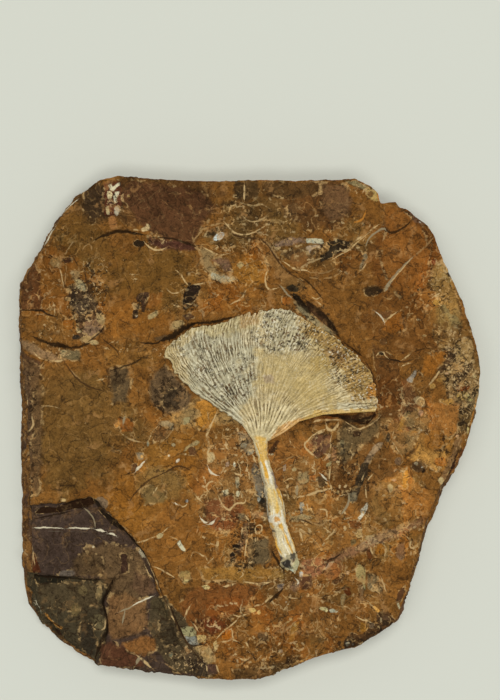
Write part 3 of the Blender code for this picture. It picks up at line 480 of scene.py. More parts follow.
    (((397, 592), (402, 587), (405, 584), (404, 592), (400, 600), (396, 602)), (74, 50, 32), 0.85, 1),
    (((371, 605), (374, 604.5), (378, 608), (380, 611), (378, 612), (375, 610)), (206, 150, 72), 0.95, 0.8),
    (((317.5, 608.5), (320, 606), (324, 606.5), (328, 608.5), (327, 611), (322, 609.5)), (202, 188, 136),
     0.95, 0.8),
    (((327, 608), (333, 608), (341, 611), (338, 612.4), (330, 611.5)), (172, 172, 152), 0.95, 0.8),
    (((308, 527), (311, 529), (310, 533), (308, 531)), (176, 140, 92), 0.8, 0.8),
    (((288, 640), (292, 626), (298, 620), (301, 616), (298, 628), (296, 636), (291, 642)), (140, 104, 48),
     0.7, 1.5),
    ((288, 621, 2, 1, 0), (188, 160, 108), 0.85, 0.8),
    ((291.5, 618.5, 1.6, 1.2, 0), (180, 150, 98), 0.85, 0.8),
    ((295, 624, 1.5, 1.5, 0), (176, 148, 96), 0.85, 0.8),
    (((299, 622), (302, 622), (301, 632), (298, 636)), (86, 58, 28), 0.8, 1),
    (((294, 643), (297, 642.5), (299, 646), (296, 647)), (178, 142, 88), 0.85, 0.8),
    ((316.5, 650.5, 1.3, 1.6, 0), (160, 122, 80), 0.7, 1),
    (((359, 620), (367, 622), (368, 628), (363, 632), (359, 630)), (146, 102, 38), 0.8, 1.5),
    (((344, 640), (352, 632), (360, 634), (366, 630), (371, 622), (377, 623), (376, 614), (382, 610),
      (388, 612), (394, 618), (398, 622), (392, 634), (378, 640), (366, 644), (352, 650), (344, 650)),
     (78, 54, 32), 0.92, 1.5),
    (((380, 624), (381.5, 626), (381.5, 632), (379, 632)), (42, 30, 22), 0.9, 0.8),
    ((385, 619, 4, 5, 0), (92, 70, 50), 0.6, 2),
    (((379.6, 616), (381, 616), (381.5, 621), (379.5, 622)), (190, 170, 130), 0.9, 0.8),
    (((376, 628), (378, 624), (381, 627), (379, 626.5)), (170, 146, 104), 0.8, 0.8),
    (((367, 623), (374, 622), (374, 627), (369, 628)), (116, 94, 70), 0.8, 1),
    (((343, 641), (348, 640), (352, 638), (354, 640), (348, 644), (344, 645)), (52, 42, 30), 0.9, 0.8),
    (((345, 642), (349, 641.5), (350, 644), (347, 646)), (150, 140, 116), 0.85, 0.8),
    ((352.5, 643.5, 1, 1.3, 0), (214, 206, 190), 0.95, 0.8),
    (((285, 662), (288, 659), (293, 659), (292, 663), (287, 665)), (60, 42, 26), 0.85, 1),
    ((302, 660, 1.8, 1.2, 0), (190, 150, 80), 0.8, 1),
    (((427, 402), (462, 404), (458, 430), (448, 438), (430, 430), (430, 412)), (162, 110, 54), 0.8, 2),
    (((424, 440), (432, 430), (442, 432), (446, 444), (436, 452), (426, 448)), (146, 98, 42), 0.75, 2),
    (((414, 452), (420, 444), (428, 450), (444, 452), (446, 460), (436, 470), (426, 464), (414, 462),
      (408, 458)), (178, 132, 68), 0.8, 3),
    ((440, 462, 6, 5, 0), (178, 108, 36), 0.75, 2),
    (((414, 399), (418, 396), (424, 398), (425, 403), (422, 407), (418, 405), (415, 402)), (176, 146, 100),
     0.8, 0.8),
    ((399, 402.5, 1.5, 2, 0), (86, 70, 44), 0.85, 0.8),
    (((397, 430), (399, 424), (403, 417), (408, 412), (412, 411), (408, 417), (403, 423), (401, 431)),
     (172, 132, 66), 0.85, 1),
    (((408, 412), (416, 410), (424, 412), (430, 420), (426, 430), (418, 432), (408, 428), (404, 422)),
     (134, 106, 66), 0.8, 1.5),
    ((421, 413, 2.5, 3, 0), (168, 132, 102), 0.8, 1), ((421.5, 430, 1.2, 1.2, 0), (220, 214, 190), 0.95, 0.8),
    (((437, 399), (444, 400), (450, 398), (455, 400), (454, 404), (448, 405), (441, 401.5)), (182, 138, 72),
     0.85, 1),
    (((455, 396), (460, 392), (467, 392.5), (470, 397), (464, 400), (456, 398)), (178, 144, 82), 0.85, 1),
    ((468.5, 395.5, 1.6, 1.6, 0), (200, 174, 114), 0.9, 0.8),
    (((466, 400), (470, 398), (473, 400), (470, 402)), (190, 166, 100), 0.9, 0.8),
    (((460, 406), (470, 404), (474, 406), (471, 420), (466, 432), (460, 434), (457, 424), (459, 412)),
     (96, 74, 42), 0.85, 1.5),
    ((462, 412, 3, 2.6, 0), (60, 46, 28), 0.85, 1), ((460, 424, 3.6, 2.6, 0), (60, 46, 24), 0.85, 1),
    (((456, 386), (462, 388), (470, 386), (466, 391), (457, 391)), (142, 76, 28), 0.8, 1),
    (((474, 388), (478, 385), (479, 394), (474, 398), (472, 394)), (56, 44, 26), 0.85, 1),
    (((453, 380), (460, 380), (464, 382), (456, 386), (455, 391), (453, 388)), (66, 52, 34), 0.85, 1),
    (((467, 426), (469.5, 427), (468, 434), (466.5, 436)), (188, 164, 104), 0.9, 0.8),
    ((465.5, 440, 1.2, 1.2, 0), (214, 206, 160), 0.95, 0.8),
    (((455, 440), (461, 436), (463, 440), (459, 450), (454, 462), (448, 470), (444, 480), (441, 478),
      (446, 466), (451, 452)), (124, 94, 62), 0.75, 1.5),
    (((462, 448), (465, 446), (462, 458), (456, 470), (450, 478), (447, 488), (445, 488), (449, 474),
      (456, 460)), (108, 66, 38), 0.85, 1),
    (((457, 450), (459, 449), (456, 460), (454, 467), (450, 470), (453, 460)), (58, 36, 24), 0.9, 0.8),
    ((457, 436, 2, 2, 0), (196, 156, 112), 0.85, 0.8),
    (((412, 462), (420, 461), (426, 466), (425, 472), (418, 472), (412, 468)), (76, 56, 36), 0.8, 1),
    ((423, 470.3, 2, 2.2, 0), (26, 18, 10), 0.95, 0.8),
    ((421.8, 467, 1.4, 1.3, 0), (200, 190, 170), 0.95, 0.8),
    ((416, 463.5, 2, 1.5, 0), (150, 136, 110), 0.8, 1),
    (((436, 479), (440, 476), (443, 480), (444, 485), (442, 486), (439, 482)), (172, 152, 110), 0.85, 0.8),
    (((402, 472), (406, 468), (408, 476), (406, 488), (402, 488)), (172, 128, 58), 0.7, 1.5),
    (((387, 485), (390, 483), (393, 486), (392, 489), (388, 489)), (200, 166, 112), 0.9, 0.8),
    ((394, 480, 2, 1.4, 0), (178, 142, 110), 0.85, 0.8), ((398, 461, 3, 4, 0), (112, 90, 70), 0.7, 1),
    (((392, 446), (398, 434), (410, 432), (418, 436), (412, 450), (402, 454), (394, 452)), (134, 106, 66),
     0.7, 1.5),
    ((408, 429, 3, 2, 0), (108, 70, 42), 0.8, 1),
    (((384, 292), (386, 286), (390, 281), (393, 281), (389, 287), (386, 291)), (160, 146, 118), 0.8, 0.8),
    ((419, 290, 1.3, 1.4, 0), (46, 32, 16), 0.9, 0.8),
    (((424, 306), (427, 308), (429, 311), (426, 312)), (160, 124, 80), 0.8, 0.8),
    (((415, 319), (418, 318), (421, 320.5), (417, 321)), (196, 168, 124), 0.85, 0.8),
    ((424, 336, 1.8, 1.2, 0), (140, 120, 80), 0.7, 1),
    (((384, 322), (394, 314), (402, 312), (404, 330), (392, 334), (384, 330)), (144, 90, 34), 0.6, 2),
    (((380, 312), (386, 312), (394, 309), (391, 315), (386, 319), (383, 318)), (100, 68, 38), 0.8, 1.5),
    ((383, 342, 3.6, 3.6, 0), (98, 68, 38), 0.8, 1), ((381, 353.5, 3, 1.8, 0), (60, 48, 34), 0.85, 0.8),
    ((403, 353, 2, 1.4, 0), (74, 48, 26), 0.8, 0.8),
    (((406, 380), (410, 376), (414, 371), (417, 370), (416, 375), (413, 380), (412, 383), (408, 382)),
     (158, 146, 130), 0.9, 1),
    (((420, 372), (424, 358), (436, 352), (447, 352), (444, 360), (436, 370), (432, 378), (424, 376)),
     (148, 95, 36), 0.7, 3),
    (((455, 356), (458, 342), (468, 338), (474, 352), (470, 364), (460, 364)), (164, 132, 82), 0.7, 2),
    (((438, 370), (444, 362), (450, 354), (456, 354), (452, 360), (446, 366), (440, 374)), (72, 50, 30), 0.85,
     1),
    (((455, 384), (458, 374), (466, 366), (472, 364), (470, 372), (464, 380), (457, 388)), (78, 60, 40), 0.8,
     1.5),
    (((472, 368), (474, 372), (477, 378), (473, 378)), (186, 164, 116), 0.85, 0.8),
    ((439, 380, 3, 2, 0), (180, 136, 70), 0.7, 1), ((432, 386, 3, 3, 0), (190, 150, 84), 0.8, 1),
    ((446.5, 373.5, 2, 1, 0), (200, 160, 120), 0.85, 0.8),
    ((450.5, 372, 1.3, 3, 0), (176, 144, 86), 0.8, 0.8), ((440, 290, 1.5, 1, 0), (214, 190, 150), 0.9, 0.8),
    ((437, 302, 4, 3, 0), (150, 118, 58), 0.7, 1.5),
)
PATCH_ROOM = 4  # pixels kept between two patches of one layer
STRONG = 0.9  # patches with this strength or more keep their softness, and weaker ones get more where large
SOFTEST = 5.0  # the most softness that a large patch gets, in pixels
SOFT_SHARE = 0.32  # and the share of its half size that it gets
DARKEST = 150  # patches whose red, green and blue add up to less are hollows
HOLLOW = 0.10  # and lie this many millimetres below the face
SHARP = 1.0  # patches with this softness or less, in pixels, have sharp edges
SHARP_WANDER = 0.045  # millimetres that a sharp edge wanders, and a softer one
SOFT_WANDER = 0.11
MORE_WANDER = 0.25  # and the share of its softness that either wanders further

# The dark crack and seam colours are painted shade, in the narrow hollows and under the small steps that
# these lines follow.
LINE_COLOURS = {
    "crack": (36, 25, 14), "seam": (62, 42, 24), "cream": (204, 176, 128), "white": (222, 214, 190),
    "orange": (186, 124, 50), "grey": (150, 138, 112), "pale": (164, 132, 88),
}
LINE_BREAKS = {"white": 0.3, "cream": 0.8, "pale": 1.0, "orange": 1.0}  # how much of a veinlet breaks up
LINE_DEPTHS = {"crack": -0.045, "seam": -0.03}  # millimetres for each pixel of width
VEINLET_RISE = 0.03  # and the other lines stand up by this
DEEPEST_CRACK = -0.22
# Thin lines on the face: kind, width in pixels, strength, and the path in pixels.
LINES = (
    # A painted shadow along the lower left edge of the stalk's broken end.
    ("crack", 2.6, 0.92, ((273, 551.5), (275.5, 557), (278.5, 562), (281.5, 566), (284, 570))),
    ("crack", 3, 0.9, ((93, 240), (101, 236), (108, 233.5), (116, 231), (125, 231), (133, 232.5),
      (144, 235))),
    ("crack", 2.2, 0.8, ((158, 237.5), (171, 238), (180, 241), (193, 245), (200, 248.5))),
    ("crack", 2.2, 0.9, ((19, 310), (42, 310), (46, 314), (56, 317))),
    # These dark lines are painted shade on the riser of a small ledge, with the rock higher above them.
    ("crack", 3, 0.85, ((33, 337), (42, 341), (48, 343.5))),
    ("crack", 5, 0.9, ((46, 343), (52, 344.5), (62, 345.5), (70, 348))),
    ("crack", 2.5, 0.85, ((70, 348), (80, 347), (90, 343))),
    ("crack", 1.6, 0.85, ((88, 342), (95, 337), (102, 331), (104, 326))),
    ("seam", 1.8, 0.8, ((102, 338), (110, 345), (117, 350), (119, 356))),
    # These three dark lines are painted shadow under the ledge that covers the blade's upper left margin.
    ("crack", 2.2, 0.9, ((140, 343), (157, 344), (161, 341))),
    ("crack", 5.5, 0.95, ((160, 341), (173, 337), (182, 329), (195, 323))),
    ("crack", 3, 0.9, ((195, 323), (211, 323), (233, 317))),
    ("crack", 2.2, 0.8, ((112, 370), (122, 367), (133, 364), (142, 358))),
    ("seam", 2, 0.8, ((66, 364), (70, 371), (78, 380), (84, 384), (92, 388), (104, 391))),
    ("pale", 1.4, 0.7, ((71, 370), (75, 375), (80, 379))), ("crack", 1.8, 0.6, ((58, 486), (74, 485))),
    ("crack", 2.8, 0.85, ((384, 229), (390, 232.5), (396, 231.5), (402, 228.5), (407, 225.5), (411, 221))),
    ("seam", 2.5, 0.8, ((262, 240), (270, 247), (278, 261), (288, 272), (304, 282))),
    ("crack", 6.5, 0.85, ((293, 296), (304, 306), (310, 313))),
    ("crack", 5, 0.75, ((307, 301), (326, 317), (332, 326), (339, 337))),
    ("crack", 2.2, 0.8, ((345, 343), (355, 351), (362, 356))),
    ("seam", 2, 0.8, ((366, 362), (372, 372), (377, 388))),
    ("seam", 2, 0.75, ((375, 359), (388, 359), (403, 363), (414, 359))),
    # Painted shade in the gouge under the blade's lower right margin.
    ("crack", 4, 0.9, ((322, 415), (340, 416), (352, 422), (366, 420), (377, 414))),
    ("seam", 2, 0.8, ((158, 585), (168, 604), (176, 622), (187, 643), (203, 662))),
    ("pale", 2, 0.85, ((193, 242), (199, 234), (205, 228), (216, 223.5), (224, 223))),
    ("pale", 1.8, 0.75, ((190, 231), (193, 240), (197, 246), (200, 255), (203, 264), (208, 272))),
    ("cream", 1.5, 0.85, ((203, 247), (212, 252), (216, 254), (222, 255), (229, 253))),
    ("cream", 1.5, 0.8, ((224, 221), (229, 227), (234, 233), (245, 235), (255, 232))),
    ("seam", 1.6, 0.8, ((232, 233.5), (240, 237), (250, 238), (260, 239))),
    ("cream", 1.8, 0.85, ((144.6, 242.4), (149.4, 247.3), (155, 250), (161, 250), (165, 248))),
    ("cream", 1.4, 0.7, ((132, 229.6), (141.5, 230.4))),
    ("cream", 1.7, 0.85, ((176, 270), (181, 275), (185, 282), (189, 286))),
    ("cream", 1.5, 0.7, ((168, 290), (172, 294), (180, 292), (184, 289))),
    ("cream", 1.4, 0.75, ((194, 285), (200, 284), (208, 282))),
    ("cream", 1.8, 0.8, ((187, 303.5), (191, 304.5), (195, 300.5))),
    ("pale", 1.3, 0.7, ((188, 313), (200, 310.5), (208, 306.5))),
    ("cream", 1.3, 0.7, ((230, 305), (236, 301), (243, 300), (244, 294))),
    ("cream", 1.8, 0.8, ((174, 305), (179.5, 307))), ("cream", 1.6, 0.75, ((131, 274), (136, 274.5))),
    ("cream", 1.6, 0.75, ((133, 278.5), (137, 279.5))),
    ("cream", 1.4, 0.65, ((58, 267), (61, 273), (62, 279), (63.5, 287))),
    ("pale", 1.4, 0.65, ((66, 266), (65, 276), (64.5, 286))),
    ("seam", 1.6, 0.8, ((72, 256), (75, 261), (78, 266))),
    ("seam", 2, 0.8, ((84, 268), (86, 280), (89, 288), (90, 296))),
    ("cream", 1.3, 0.75, ((53, 303), (55, 309), (54, 315))),
    ("cream", 1.6, 0.85, ((34, 353), (38, 357.5), (42, 359))),
    ("cream", 1.6, 0.85, ((50, 360.5), (58, 361.5), (63, 360.5))),
    ("cream", 1.8, 0.8, ((97, 361), (100, 359.5))), ("cream", 1.8, 0.8, ((98, 380.5), (104, 379))),
    ("cream", 2, 0.85, ((103, 346.5), (108, 349))), ("cream", 1.8, 0.8, ((111, 343), (114, 341.5))),
    ("cream", 1.6, 0.8, ((116.5, 343), (119, 341.5))),
    ("pale", 1.4, 0.75, ((82, 250), (84, 246), (88, 243.5), (92, 247), (91, 251))),
    ("pale", 1.4, 0.7, ((88, 239), (91, 236), (94, 241), (97, 238))),
    ("pale", 1.3, 0.65, ((98, 266), (101, 262), (104, 267), (101, 271), (98, 268))),
    # This white line is partly pale worn rock and partly a painted highlight along the slab's upper left rim.
    ("white", 1.8, 0.92, ((76, 199), (69, 205), (63, 211), (57, 219), (53, 227), (49, 233), (47, 239),
      (43, 244), (38, 249), (34, 257), (30, 264), (26, 272), (22, 279), (19.5, 286))),
    ("cream", 1.8, 0.8, ((244.5, 184), (244, 199))),
    ("cream", 1.5, 0.5, ((240, 202), (252, 206), (262, 203), (269, 208))),
    ("cream", 1.5, 0.5, ((243, 216), (250, 222), (262, 220), (268, 214))),
    ("cream", 1.8, 0.6, ((240, 235), (251, 234), (265, 226))),
    ("orange", 2, 0.85, ((353, 223), (359, 222), (363, 219), (365, 214), (367, 208))),
    ("cream", 2.4, 0.85, ((355, 241.5), (358, 239), (362, 236.5))),
    ("cream", 1.3, 0.8, ((332, 260), (341, 254), (350, 250), (355, 244), (370, 232))),
    ("cream", 2, 0.85, ((370, 231), (374, 228), (378, 225))),
    ("grey", 2, 0.85, ((386, 230), (384, 227.5), (376, 232), (371, 236), (368, 240), (366, 246))),
    ("cream", 1.3, 0.8, ((360, 271), (364, 268), (367, 262))),
    ("cream", 1.6, 0.9, ((284, 262), (290, 266), (295, 269.5), (306, 270), (309, 272))),
    ("pale", 1.6, 0.75, ((250, 230), (259, 233), (263, 238), (271, 247), (278, 258), (284, 268))),
    ("cream", 1.8, 0.85, ((262, 262), (268, 269), (265, 277), (266, 286), (270, 290), (277, 288))),
    ("crack", 1.8, 0.8, ((300, 276), (308, 282), (316, 290), (322, 298))),
    ("pale", 1.2, 0.7, ((306, 277), (320, 279), (334, 277), (341, 272))),
    ("pale", 1.2, 0.65, ((310, 272), (324, 274), (336, 268))),
    ("grey", 2, 0.85, ((281, 286), (287, 294), (292, 298))),
    ("cream", 1.3, 0.75, ((312, 297), (316, 300), (320, 297))),
    ("cream", 1.3, 0.75, ((318, 302), (323, 307))),
    ("grey", 2, 0.75, ((386, 286), (395, 275.5), (405, 264.5), (413, 257))),
    ("cream", 1.2, 0.75, ((390, 283), (400, 272), (411, 259))),
    ("pale", 1.8, 0.5, ((413, 257), (422, 250), (430, 242), (435, 236))),
    ("cream", 2, 0.65, ((32, 416), (34, 426), (28, 432))),
    ("cream", 1.2, 0.5, ((39.5, 408), (47, 405), (59, 408))),
    ("cream", 1.8, 0.6, ((122, 434), (131, 440), (141, 442))),
    ("cream", 2, 0.7, ((407, 537), (411, 541), (409, 547), (414, 548), (420, 544))),
    ("cream", 1.5, 0.55, ((236, 302), (242, 298), (246, 290))),
    ("cream", 2, 0.55, ((300, 268), (310, 262), (322, 258))),
    ("cream", 1.5, 0.75, ((26.5, 396), (27, 404), (25.5, 411))),
    ("cream", 1.5, 0.75, ((25, 436), (27, 446), (26, 455))),
    ("pale", 1.4, 0.7, ((25, 462), (26.5, 472), (25, 482))),
    ("crack", 1.4, 0.8, ((30.5, 489), (29.5, 500), (30, 512), (30.5, 520))),
    ("grey", 2, 0.9, ((125, 416.5), (124, 420), (123, 424))),
    ("cream", 1.4, 0.7, ((158, 426), (152, 432), (149, 440))),
    ("pale", 1.3, 0.7, ((173, 430), (167, 438), (160, 443))),
    ("seam", 1.8, 0.85, ((160, 475), (168, 471), (176, 465.5), (184, 467), (190, 470))),
    ("seam", 1.8, 0.8, ((130, 501), (134, 494), (142, 486), (150, 479), (160, 475))),
    ("cream", 1.4, 0.8, ((158, 486), (153, 494))),
    ("cream", 2.4, 0.85, ((217, 412), (213, 422), (208, 430), (206.5, 437), (209, 444), (208, 453),
      (208, 463))),
    ("white", 2.6, 0.85, ((208.5, 468), (211, 473), (217, 475.5))),
    ("cream", 1.7, 0.8, ((216, 482.5), (211.5, 481), (207, 484), (206, 488), (208, 491))),
    ("white", 2, 0.8, ((175, 503), (178, 504.5))), ("cream", 1.8, 0.8, ((180, 505), (184, 507), (187, 504))),
    ("cream", 1.6, 0.8, ((196, 496), (201, 501))), ("white", 2.4, 0.85, ((145, 461), (140, 466), (136, 471))),
    ("white", 1.7, 0.9, ((34, 528), (38, 528.5), (44, 527.6), (50, 528.2), (62, 528.6))),
    ("white", 1.7, 0.9, ((68, 528.6), (75, 528.2), (84, 529), (90, 528.6))),
    ("white", 2.4, 0.95, ((95.5, 530), (100, 531), (104, 532))),
    ("white", 2, 0.9, ((108, 534), (112, 534), (115, 536))),
    ("grey", 1.5, 0.8, ((84, 509), (88, 512), (92, 517), (94.5, 523), (94.5, 528))),
    ("crack", 1.6, 0.85, ((31, 520), (45, 517), (60, 514), (72, 511))),
    # The dark lines here and on the next line are painted shadow that the upper step's edge casts on the
    # lower step.
    ("cream", 1.2, 0.7, ((32, 548), (34, 565))), ("crack", 3, 0.9, ((31, 576.5), (48, 578), (66, 579.5))),
    ("crack", 1.6, 0.85, ((66, 579.5), (80, 581), (98, 581.5))),
    # Painted shade on the drop from the broken corner's upper step down to its lower one.
    ("crack", 4, 0.9, ((112, 581), (108, 590), (103, 600), (102, 604), (104, 612), (106, 622))),
    ("crack", 3.6, 0.9, ((106, 622), (107, 634), (101, 640), (98, 650), (94, 661))),
    # A painted highlight along the face's lit broken edge above the broken corner's upper step.
    ("pale", 1.5, 0.8, ((118, 523), (126, 528), (133, 537), (138, 545))),
    # Painted shade at the foot of the drop from the face down to the broken corner's upper step.
    ("crack", 2.2, 0.95, ((112, 522), (124, 530), (135, 543), (143, 551), (147, 558))),
    ("cream", 1.3, 0.8, ((146, 557), (150, 566), (156, 578), (160, 590))),
    ("crack", 1.2, 0.7, ((149, 560), (154, 571), (158, 582), (162, 592))),
    ("cream", 1.2, 0.75, ((145, 566), (148, 574), (152, 578))),
    ("cream", 1.6, 0.8, ((137, 542), (143, 541), (150, 538), (156, 536))),
    ("cream", 1.4, 0.8, ((162, 533), (165, 530), (170, 526))), ("cream", 1.3, 0.7, ((171, 536), (178, 539))),
    ("cream", 1.8, 0.9, ((191, 556.5), (192, 553), (195, 551), (199, 553), (202, 555), (206, 556),
      (207, 559.5))),
    ("cream", 1.5, 0.8, ((217, 541), (216, 548), (217, 553))),
    ("white", 2, 0.9, ((201, 518), (204, 522), (207, 522))),
    ("white", 2.4, 0.9, ((209, 524), (213, 523), (215, 520))),
    ("cream", 1.5, 0.8, ((154, 566), (160, 568), (166, 572), (175, 577))),
    ("cream", 1.3, 0.75, ((208, 563), (211, 560), (214, 557))), ("cream", 1.6, 0.7, ((212, 578), (218, 574))),
    ("white", 1.8, 0.9, ((152, 596.5), (145, 600), (138, 603), (132, 606.5))),
    ("grey", 2.2, 0.85, ((132, 606.5), (128, 609), (124, 610), (120, 612))),
    ("grey", 1.6, 0.85, ((125, 609), (124, 616), (122, 624))),
    ("white", 1.4, 0.9, ((33, 602), (36, 608), (38.5, 615))),
    ("crack", 1.6, 0.85, ((39, 617), (46, 623), (54, 625), (61, 630))),
    ("cream", 1.5, 0.8, ((104, 621), (104.5, 626), (103, 631), (100, 632))),
    ("cream", 1.2, 0.7, ((92, 629), (96, 625), (99, 624))), ("pale", 1.2, 0.7, ((97, 640), (96, 650))),
    ("cream", 1.4, 0.8, ((168, 604), (171, 612), (174, 620))),
    ("crack", 1.6, 0.85, ((170, 604), (173, 611), (176, 619), (180, 629), (185, 639))),
    ("cream", 2.4, 0.85, ((137, 656), (145, 662), (152, 669))),
    ("grey", 2.6, 0.85, ((139.5, 657), (138, 660), (136, 664.5))),
    ("cream", 1.8, 0.85, ((190.5, 605), (187.5, 609), (186, 614), (184.5, 617))),
    ("cream", 1.6, 0.8, ((192.5, 622), (196, 625.5), (198, 629.5))),
    ("crack", 1.6, 0.8, ((189, 643.5), (196, 645), (203, 643.5), (208, 641))),
    ("cream", 1.8, 0.85, ((217, 637), (223, 631), (229, 626), (235, 621), (239, 616))),
    ("cream", 1.7, 0.85, ((219, 641), (228, 640), (233, 638), (237, 640))),
    ("cream", 1.6, 0.8, ((232, 628), (233, 638))), ("cream", 1.4, 0.75, ((207, 664), (207.5, 671))),
    ("cream", 1.4, 0.75, ((216, 663), (219, 671))), ("pale", 1.4, 0.6, ((163, 663), (172, 668), (180, 674))),
    ("cream", 1.4, 0.8, ((226, 441), (226, 446), (228, 450))),
    ("cream", 1.3, 0.7, ((220, 449), (226, 448.5))),
    ("cream", 1.2, 0.7, ((238, 462), (241, 470), (240, 475))),
    ("cream", 1.8, 0.85, ((234.5, 473), (240, 475))), ("cream", 1.6, 0.8, ((219, 482), (222.5, 485.5))),
    ("cream", 1.8, 0.85, ((219, 497), (221, 503), (226, 508), (229, 510.5), (231, 508), (235, 504),
      (240, 503), (245, 503.5), (246, 499))),
    ("cream", 2, 0.85, ((253.5, 455), (254, 459), (255.5, 462))),
    ("pale", 1.3, 0.75, ((276, 472), (280, 468), (287, 466))),
    ("cream", 1.4, 0.8, ((285.5, 481), (290, 478), (293, 479))),
    ("grey", 2.4, 0.75, ((297, 485), (297, 496))), ("cream", 1.2, 0.7, ((285, 489), (288, 494), (288, 500))),
    ("seam", 1.6, 0.8, ((298, 519), (306, 520.5), (312, 524))),
    ("pale", 1.6, 0.75, ((290, 526), (300, 523), (310, 528))),
    ("pale", 1.6, 0.75, ((290, 533), (300, 529), (308, 534))), ("cream", 1.8, 0.8, ((300, 531), (302, 540))),
    ("cream", 2.2, 0.85, ((246, 515.5), (248.5, 520))),
    ("cream", 1.5, 0.85, ((247.5, 533), (246, 545), (244.5, 558))),
    ("cream", 2, 0.9, ((256, 526), (260, 524), (263, 527), (260, 532), (256, 533), (255, 529), (256, 526))),
    ("cream", 1.4, 0.8, ((256, 535), (255, 541))),
    ("cream", 1.3, 0.75, ((258, 517), (262, 516), (266, 519), (262, 521))),
    ("cream", 1.8, 0.85, ((218, 540), (218, 550))),
    ("cream", 1.4, 0.75, ((237, 572), (241, 570), (244, 574), (240, 577))),
    ("pale", 1.4, 0.75, ((253, 575), (260, 577), (266, 576))), ("cream", 1.8, 0.8, ((245, 581), (252, 582))),
    ("cream", 2.8, 0.9, ((252, 582), (257, 583.5), (263, 583), (269, 581))),
    ("cream", 2.4, 0.9, ((224, 586), (229, 585), (234, 583))),
    ("cream", 1.9, 0.85, ((262, 603.5), (268, 598), (273, 594))),
    ("crack", 2.6, 0.85, ((269, 602), (275, 596), (280, 591), (283, 587))),
    ("cream", 1.8, 0.85, ((256, 604.5), (261, 603))), ("cream", 2, 0.9, ((234, 614), (239, 616), (246, 613))),
    ("crack", 1.4, 0.7, ((236, 640), (243, 644))), ("cream", 1.8, 0.8, ((246, 641), (248, 645))),
    ("pale", 1.6, 0.8, ((256, 645), (259, 641), (264, 641), (268, 644))),
    ("pale", 1.6, 0.7, ((283, 632), (290, 625), (296, 620))),
    ("cream", 1.3, 0.7, ((288, 596), (293, 597.5), (297, 597))),
    ("pale", 1.6, 0.75, ((303, 606), (306.5, 602))), ("cream", 1.8, 0.8, ((278, 644), (281, 640))),
    ("cream", 1.8, 0.75, ((240, 657), (245, 659), (249, 656))),
    ("white", 1.8, 0.85, ((296, 578), (299, 581), (297, 584))),
    ("cream", 2, 0.85, ((313, 422.5), (318, 420.5), (328, 420), (340, 420))),
    ("cream", 2.6, 0.85, ((326, 423), (327, 429), (333, 431), (338, 425), (339, 422.5))),
    ("cream", 3.2, 0.9, ((325, 429), (320, 432), (312, 436))),
    ("cream", 2, 0.9, ((312, 436), (307, 441), (304, 445), (307, 450), (312, 454), (316, 457))),
    ("cream", 1.3, 0.75, ((332, 434), (330, 441), (331, 448), (329, 453))),
    ("cream", 1.8, 0.8, ((331, 467), (329.5, 473), (329, 480))),
    ("cream", 1.8, 0.85, ((329.5, 482), (331, 486), (331, 490))),
    ("orange", 1.8, 0.8, ((328, 482), (328.5, 487))),
    ("cream", 1.5, 0.85, ((346, 422), (352, 426), (358, 430), (365, 427), (372, 424), (379, 419),
      (381, 415))),
    ("cream", 1.2, 0.7, ((350, 450), (353, 455), (350, 460))), ("cream", 1.2, 0.8, ((364, 474), (361, 480))),
    ("grey", 2, 0.85, ((348, 493), (349, 501), (345, 508), (341, 514))),
    ("cream", 1.3, 0.7, ((372, 474), (367, 480))), ("cream", 1.3, 0.7, ((365, 485), (366, 498))),
    ("cream", 2.6, 0.8, ((300, 497), (312, 494), (318, 491), (325, 490), (331, 488))),
    ("white", 1.8, 0.9, ((321, 474), (325, 478.5), (327, 480))),
    ("cream", 1.6, 0.8, ((325, 482), (328, 484))),
    ("cream", 1.6, 0.8, ((318, 509), (326, 509), (327, 514), (326, 520))),
    ("cream", 1.6, 0.8, ((302, 463), (305.5, 461))), ("cream", 1.6, 0.8, ((290, 440.5), (290.5, 443.5))),
    ("cream", 1.5, 0.75, ((382, 459), (386, 458.5))), ("pale", 1.5, 0.7, ((379, 464), (378.5, 469))),
    ("cream", 1.6, 0.75, ((370, 546), (371, 551), (374, 556), (377, 556.5))),
    ("crack", 1.1, 0.75, ((368, 558), (370, 561), (373, 558), (379, 558))),
    ("crack", 2, 0.85, ((326, 561), (330, 558.5), (335, 557.5), (340, 553.5))),
    ("pale", 1.8, 0.8, ((344, 555), (347, 562), (346, 568), (344, 572))),
    ("pale", 1.4, 0.75, ((367, 570), (374, 575), (382, 581), (388, 586))),
    ("cream", 1.4, 0.75, ((381, 577), (383, 583), (385, 590))),
    ("pale", 1.4, 0.7, ((406, 586), (405.5, 595))),
    ("cream", 1.5, 0.75, ((343, 606), (347, 606), (351, 609.5))),
    ("pale", 1.6, 0.75, ((302, 517), (310, 521), (318, 525), (324, 524), (326, 518))),
    ("cream", 1.8, 0.8, ((325, 540), (330, 535), (334, 529))),
    ("cream", 1.3, 0.7, ((384, 543), (385, 550), (384, 556))),
    ("pale", 1.6, 0.7, ((306, 644), (308, 648), (310, 652), (307, 656), (303, 660))),
    ("pale", 1.4, 0.7, ((316, 616), (318, 622), (316, 630), (314, 632))),
    ("pale", 1.2, 0.5, ((337, 618), (338, 626))),
    ("seam", 1.2, 0.5, ((318, 620), (324, 617), (330, 617), (335, 621))),
    ("cream", 1.6, 0.8, ((357, 616), (361, 619), (366, 619.5), (371, 622))),
    ("pale", 1.4, 0.7, ((350, 606), (356, 608), (360, 606))),
    ("cream", 1.2, 0.8, ((416, 402), (419, 397), (424, 399), (424, 405), (421, 407))),
    ("orange", 1.5, 0.6, ((477, 398), (475, 408), (472, 418), (470, 426))),
    ("pale", 1.5, 0.8, ((461, 438), (457, 446), (455, 450))), ("pale", 1.4, 0.75, ((459, 436), (455, 443))),
    ("seam", 1.2, 0.6, ((410, 461), (410, 470), (412, 478))),
    ("cream", 1.2, 0.75, ((392, 442), (395, 446), (397, 450), (399, 452))),
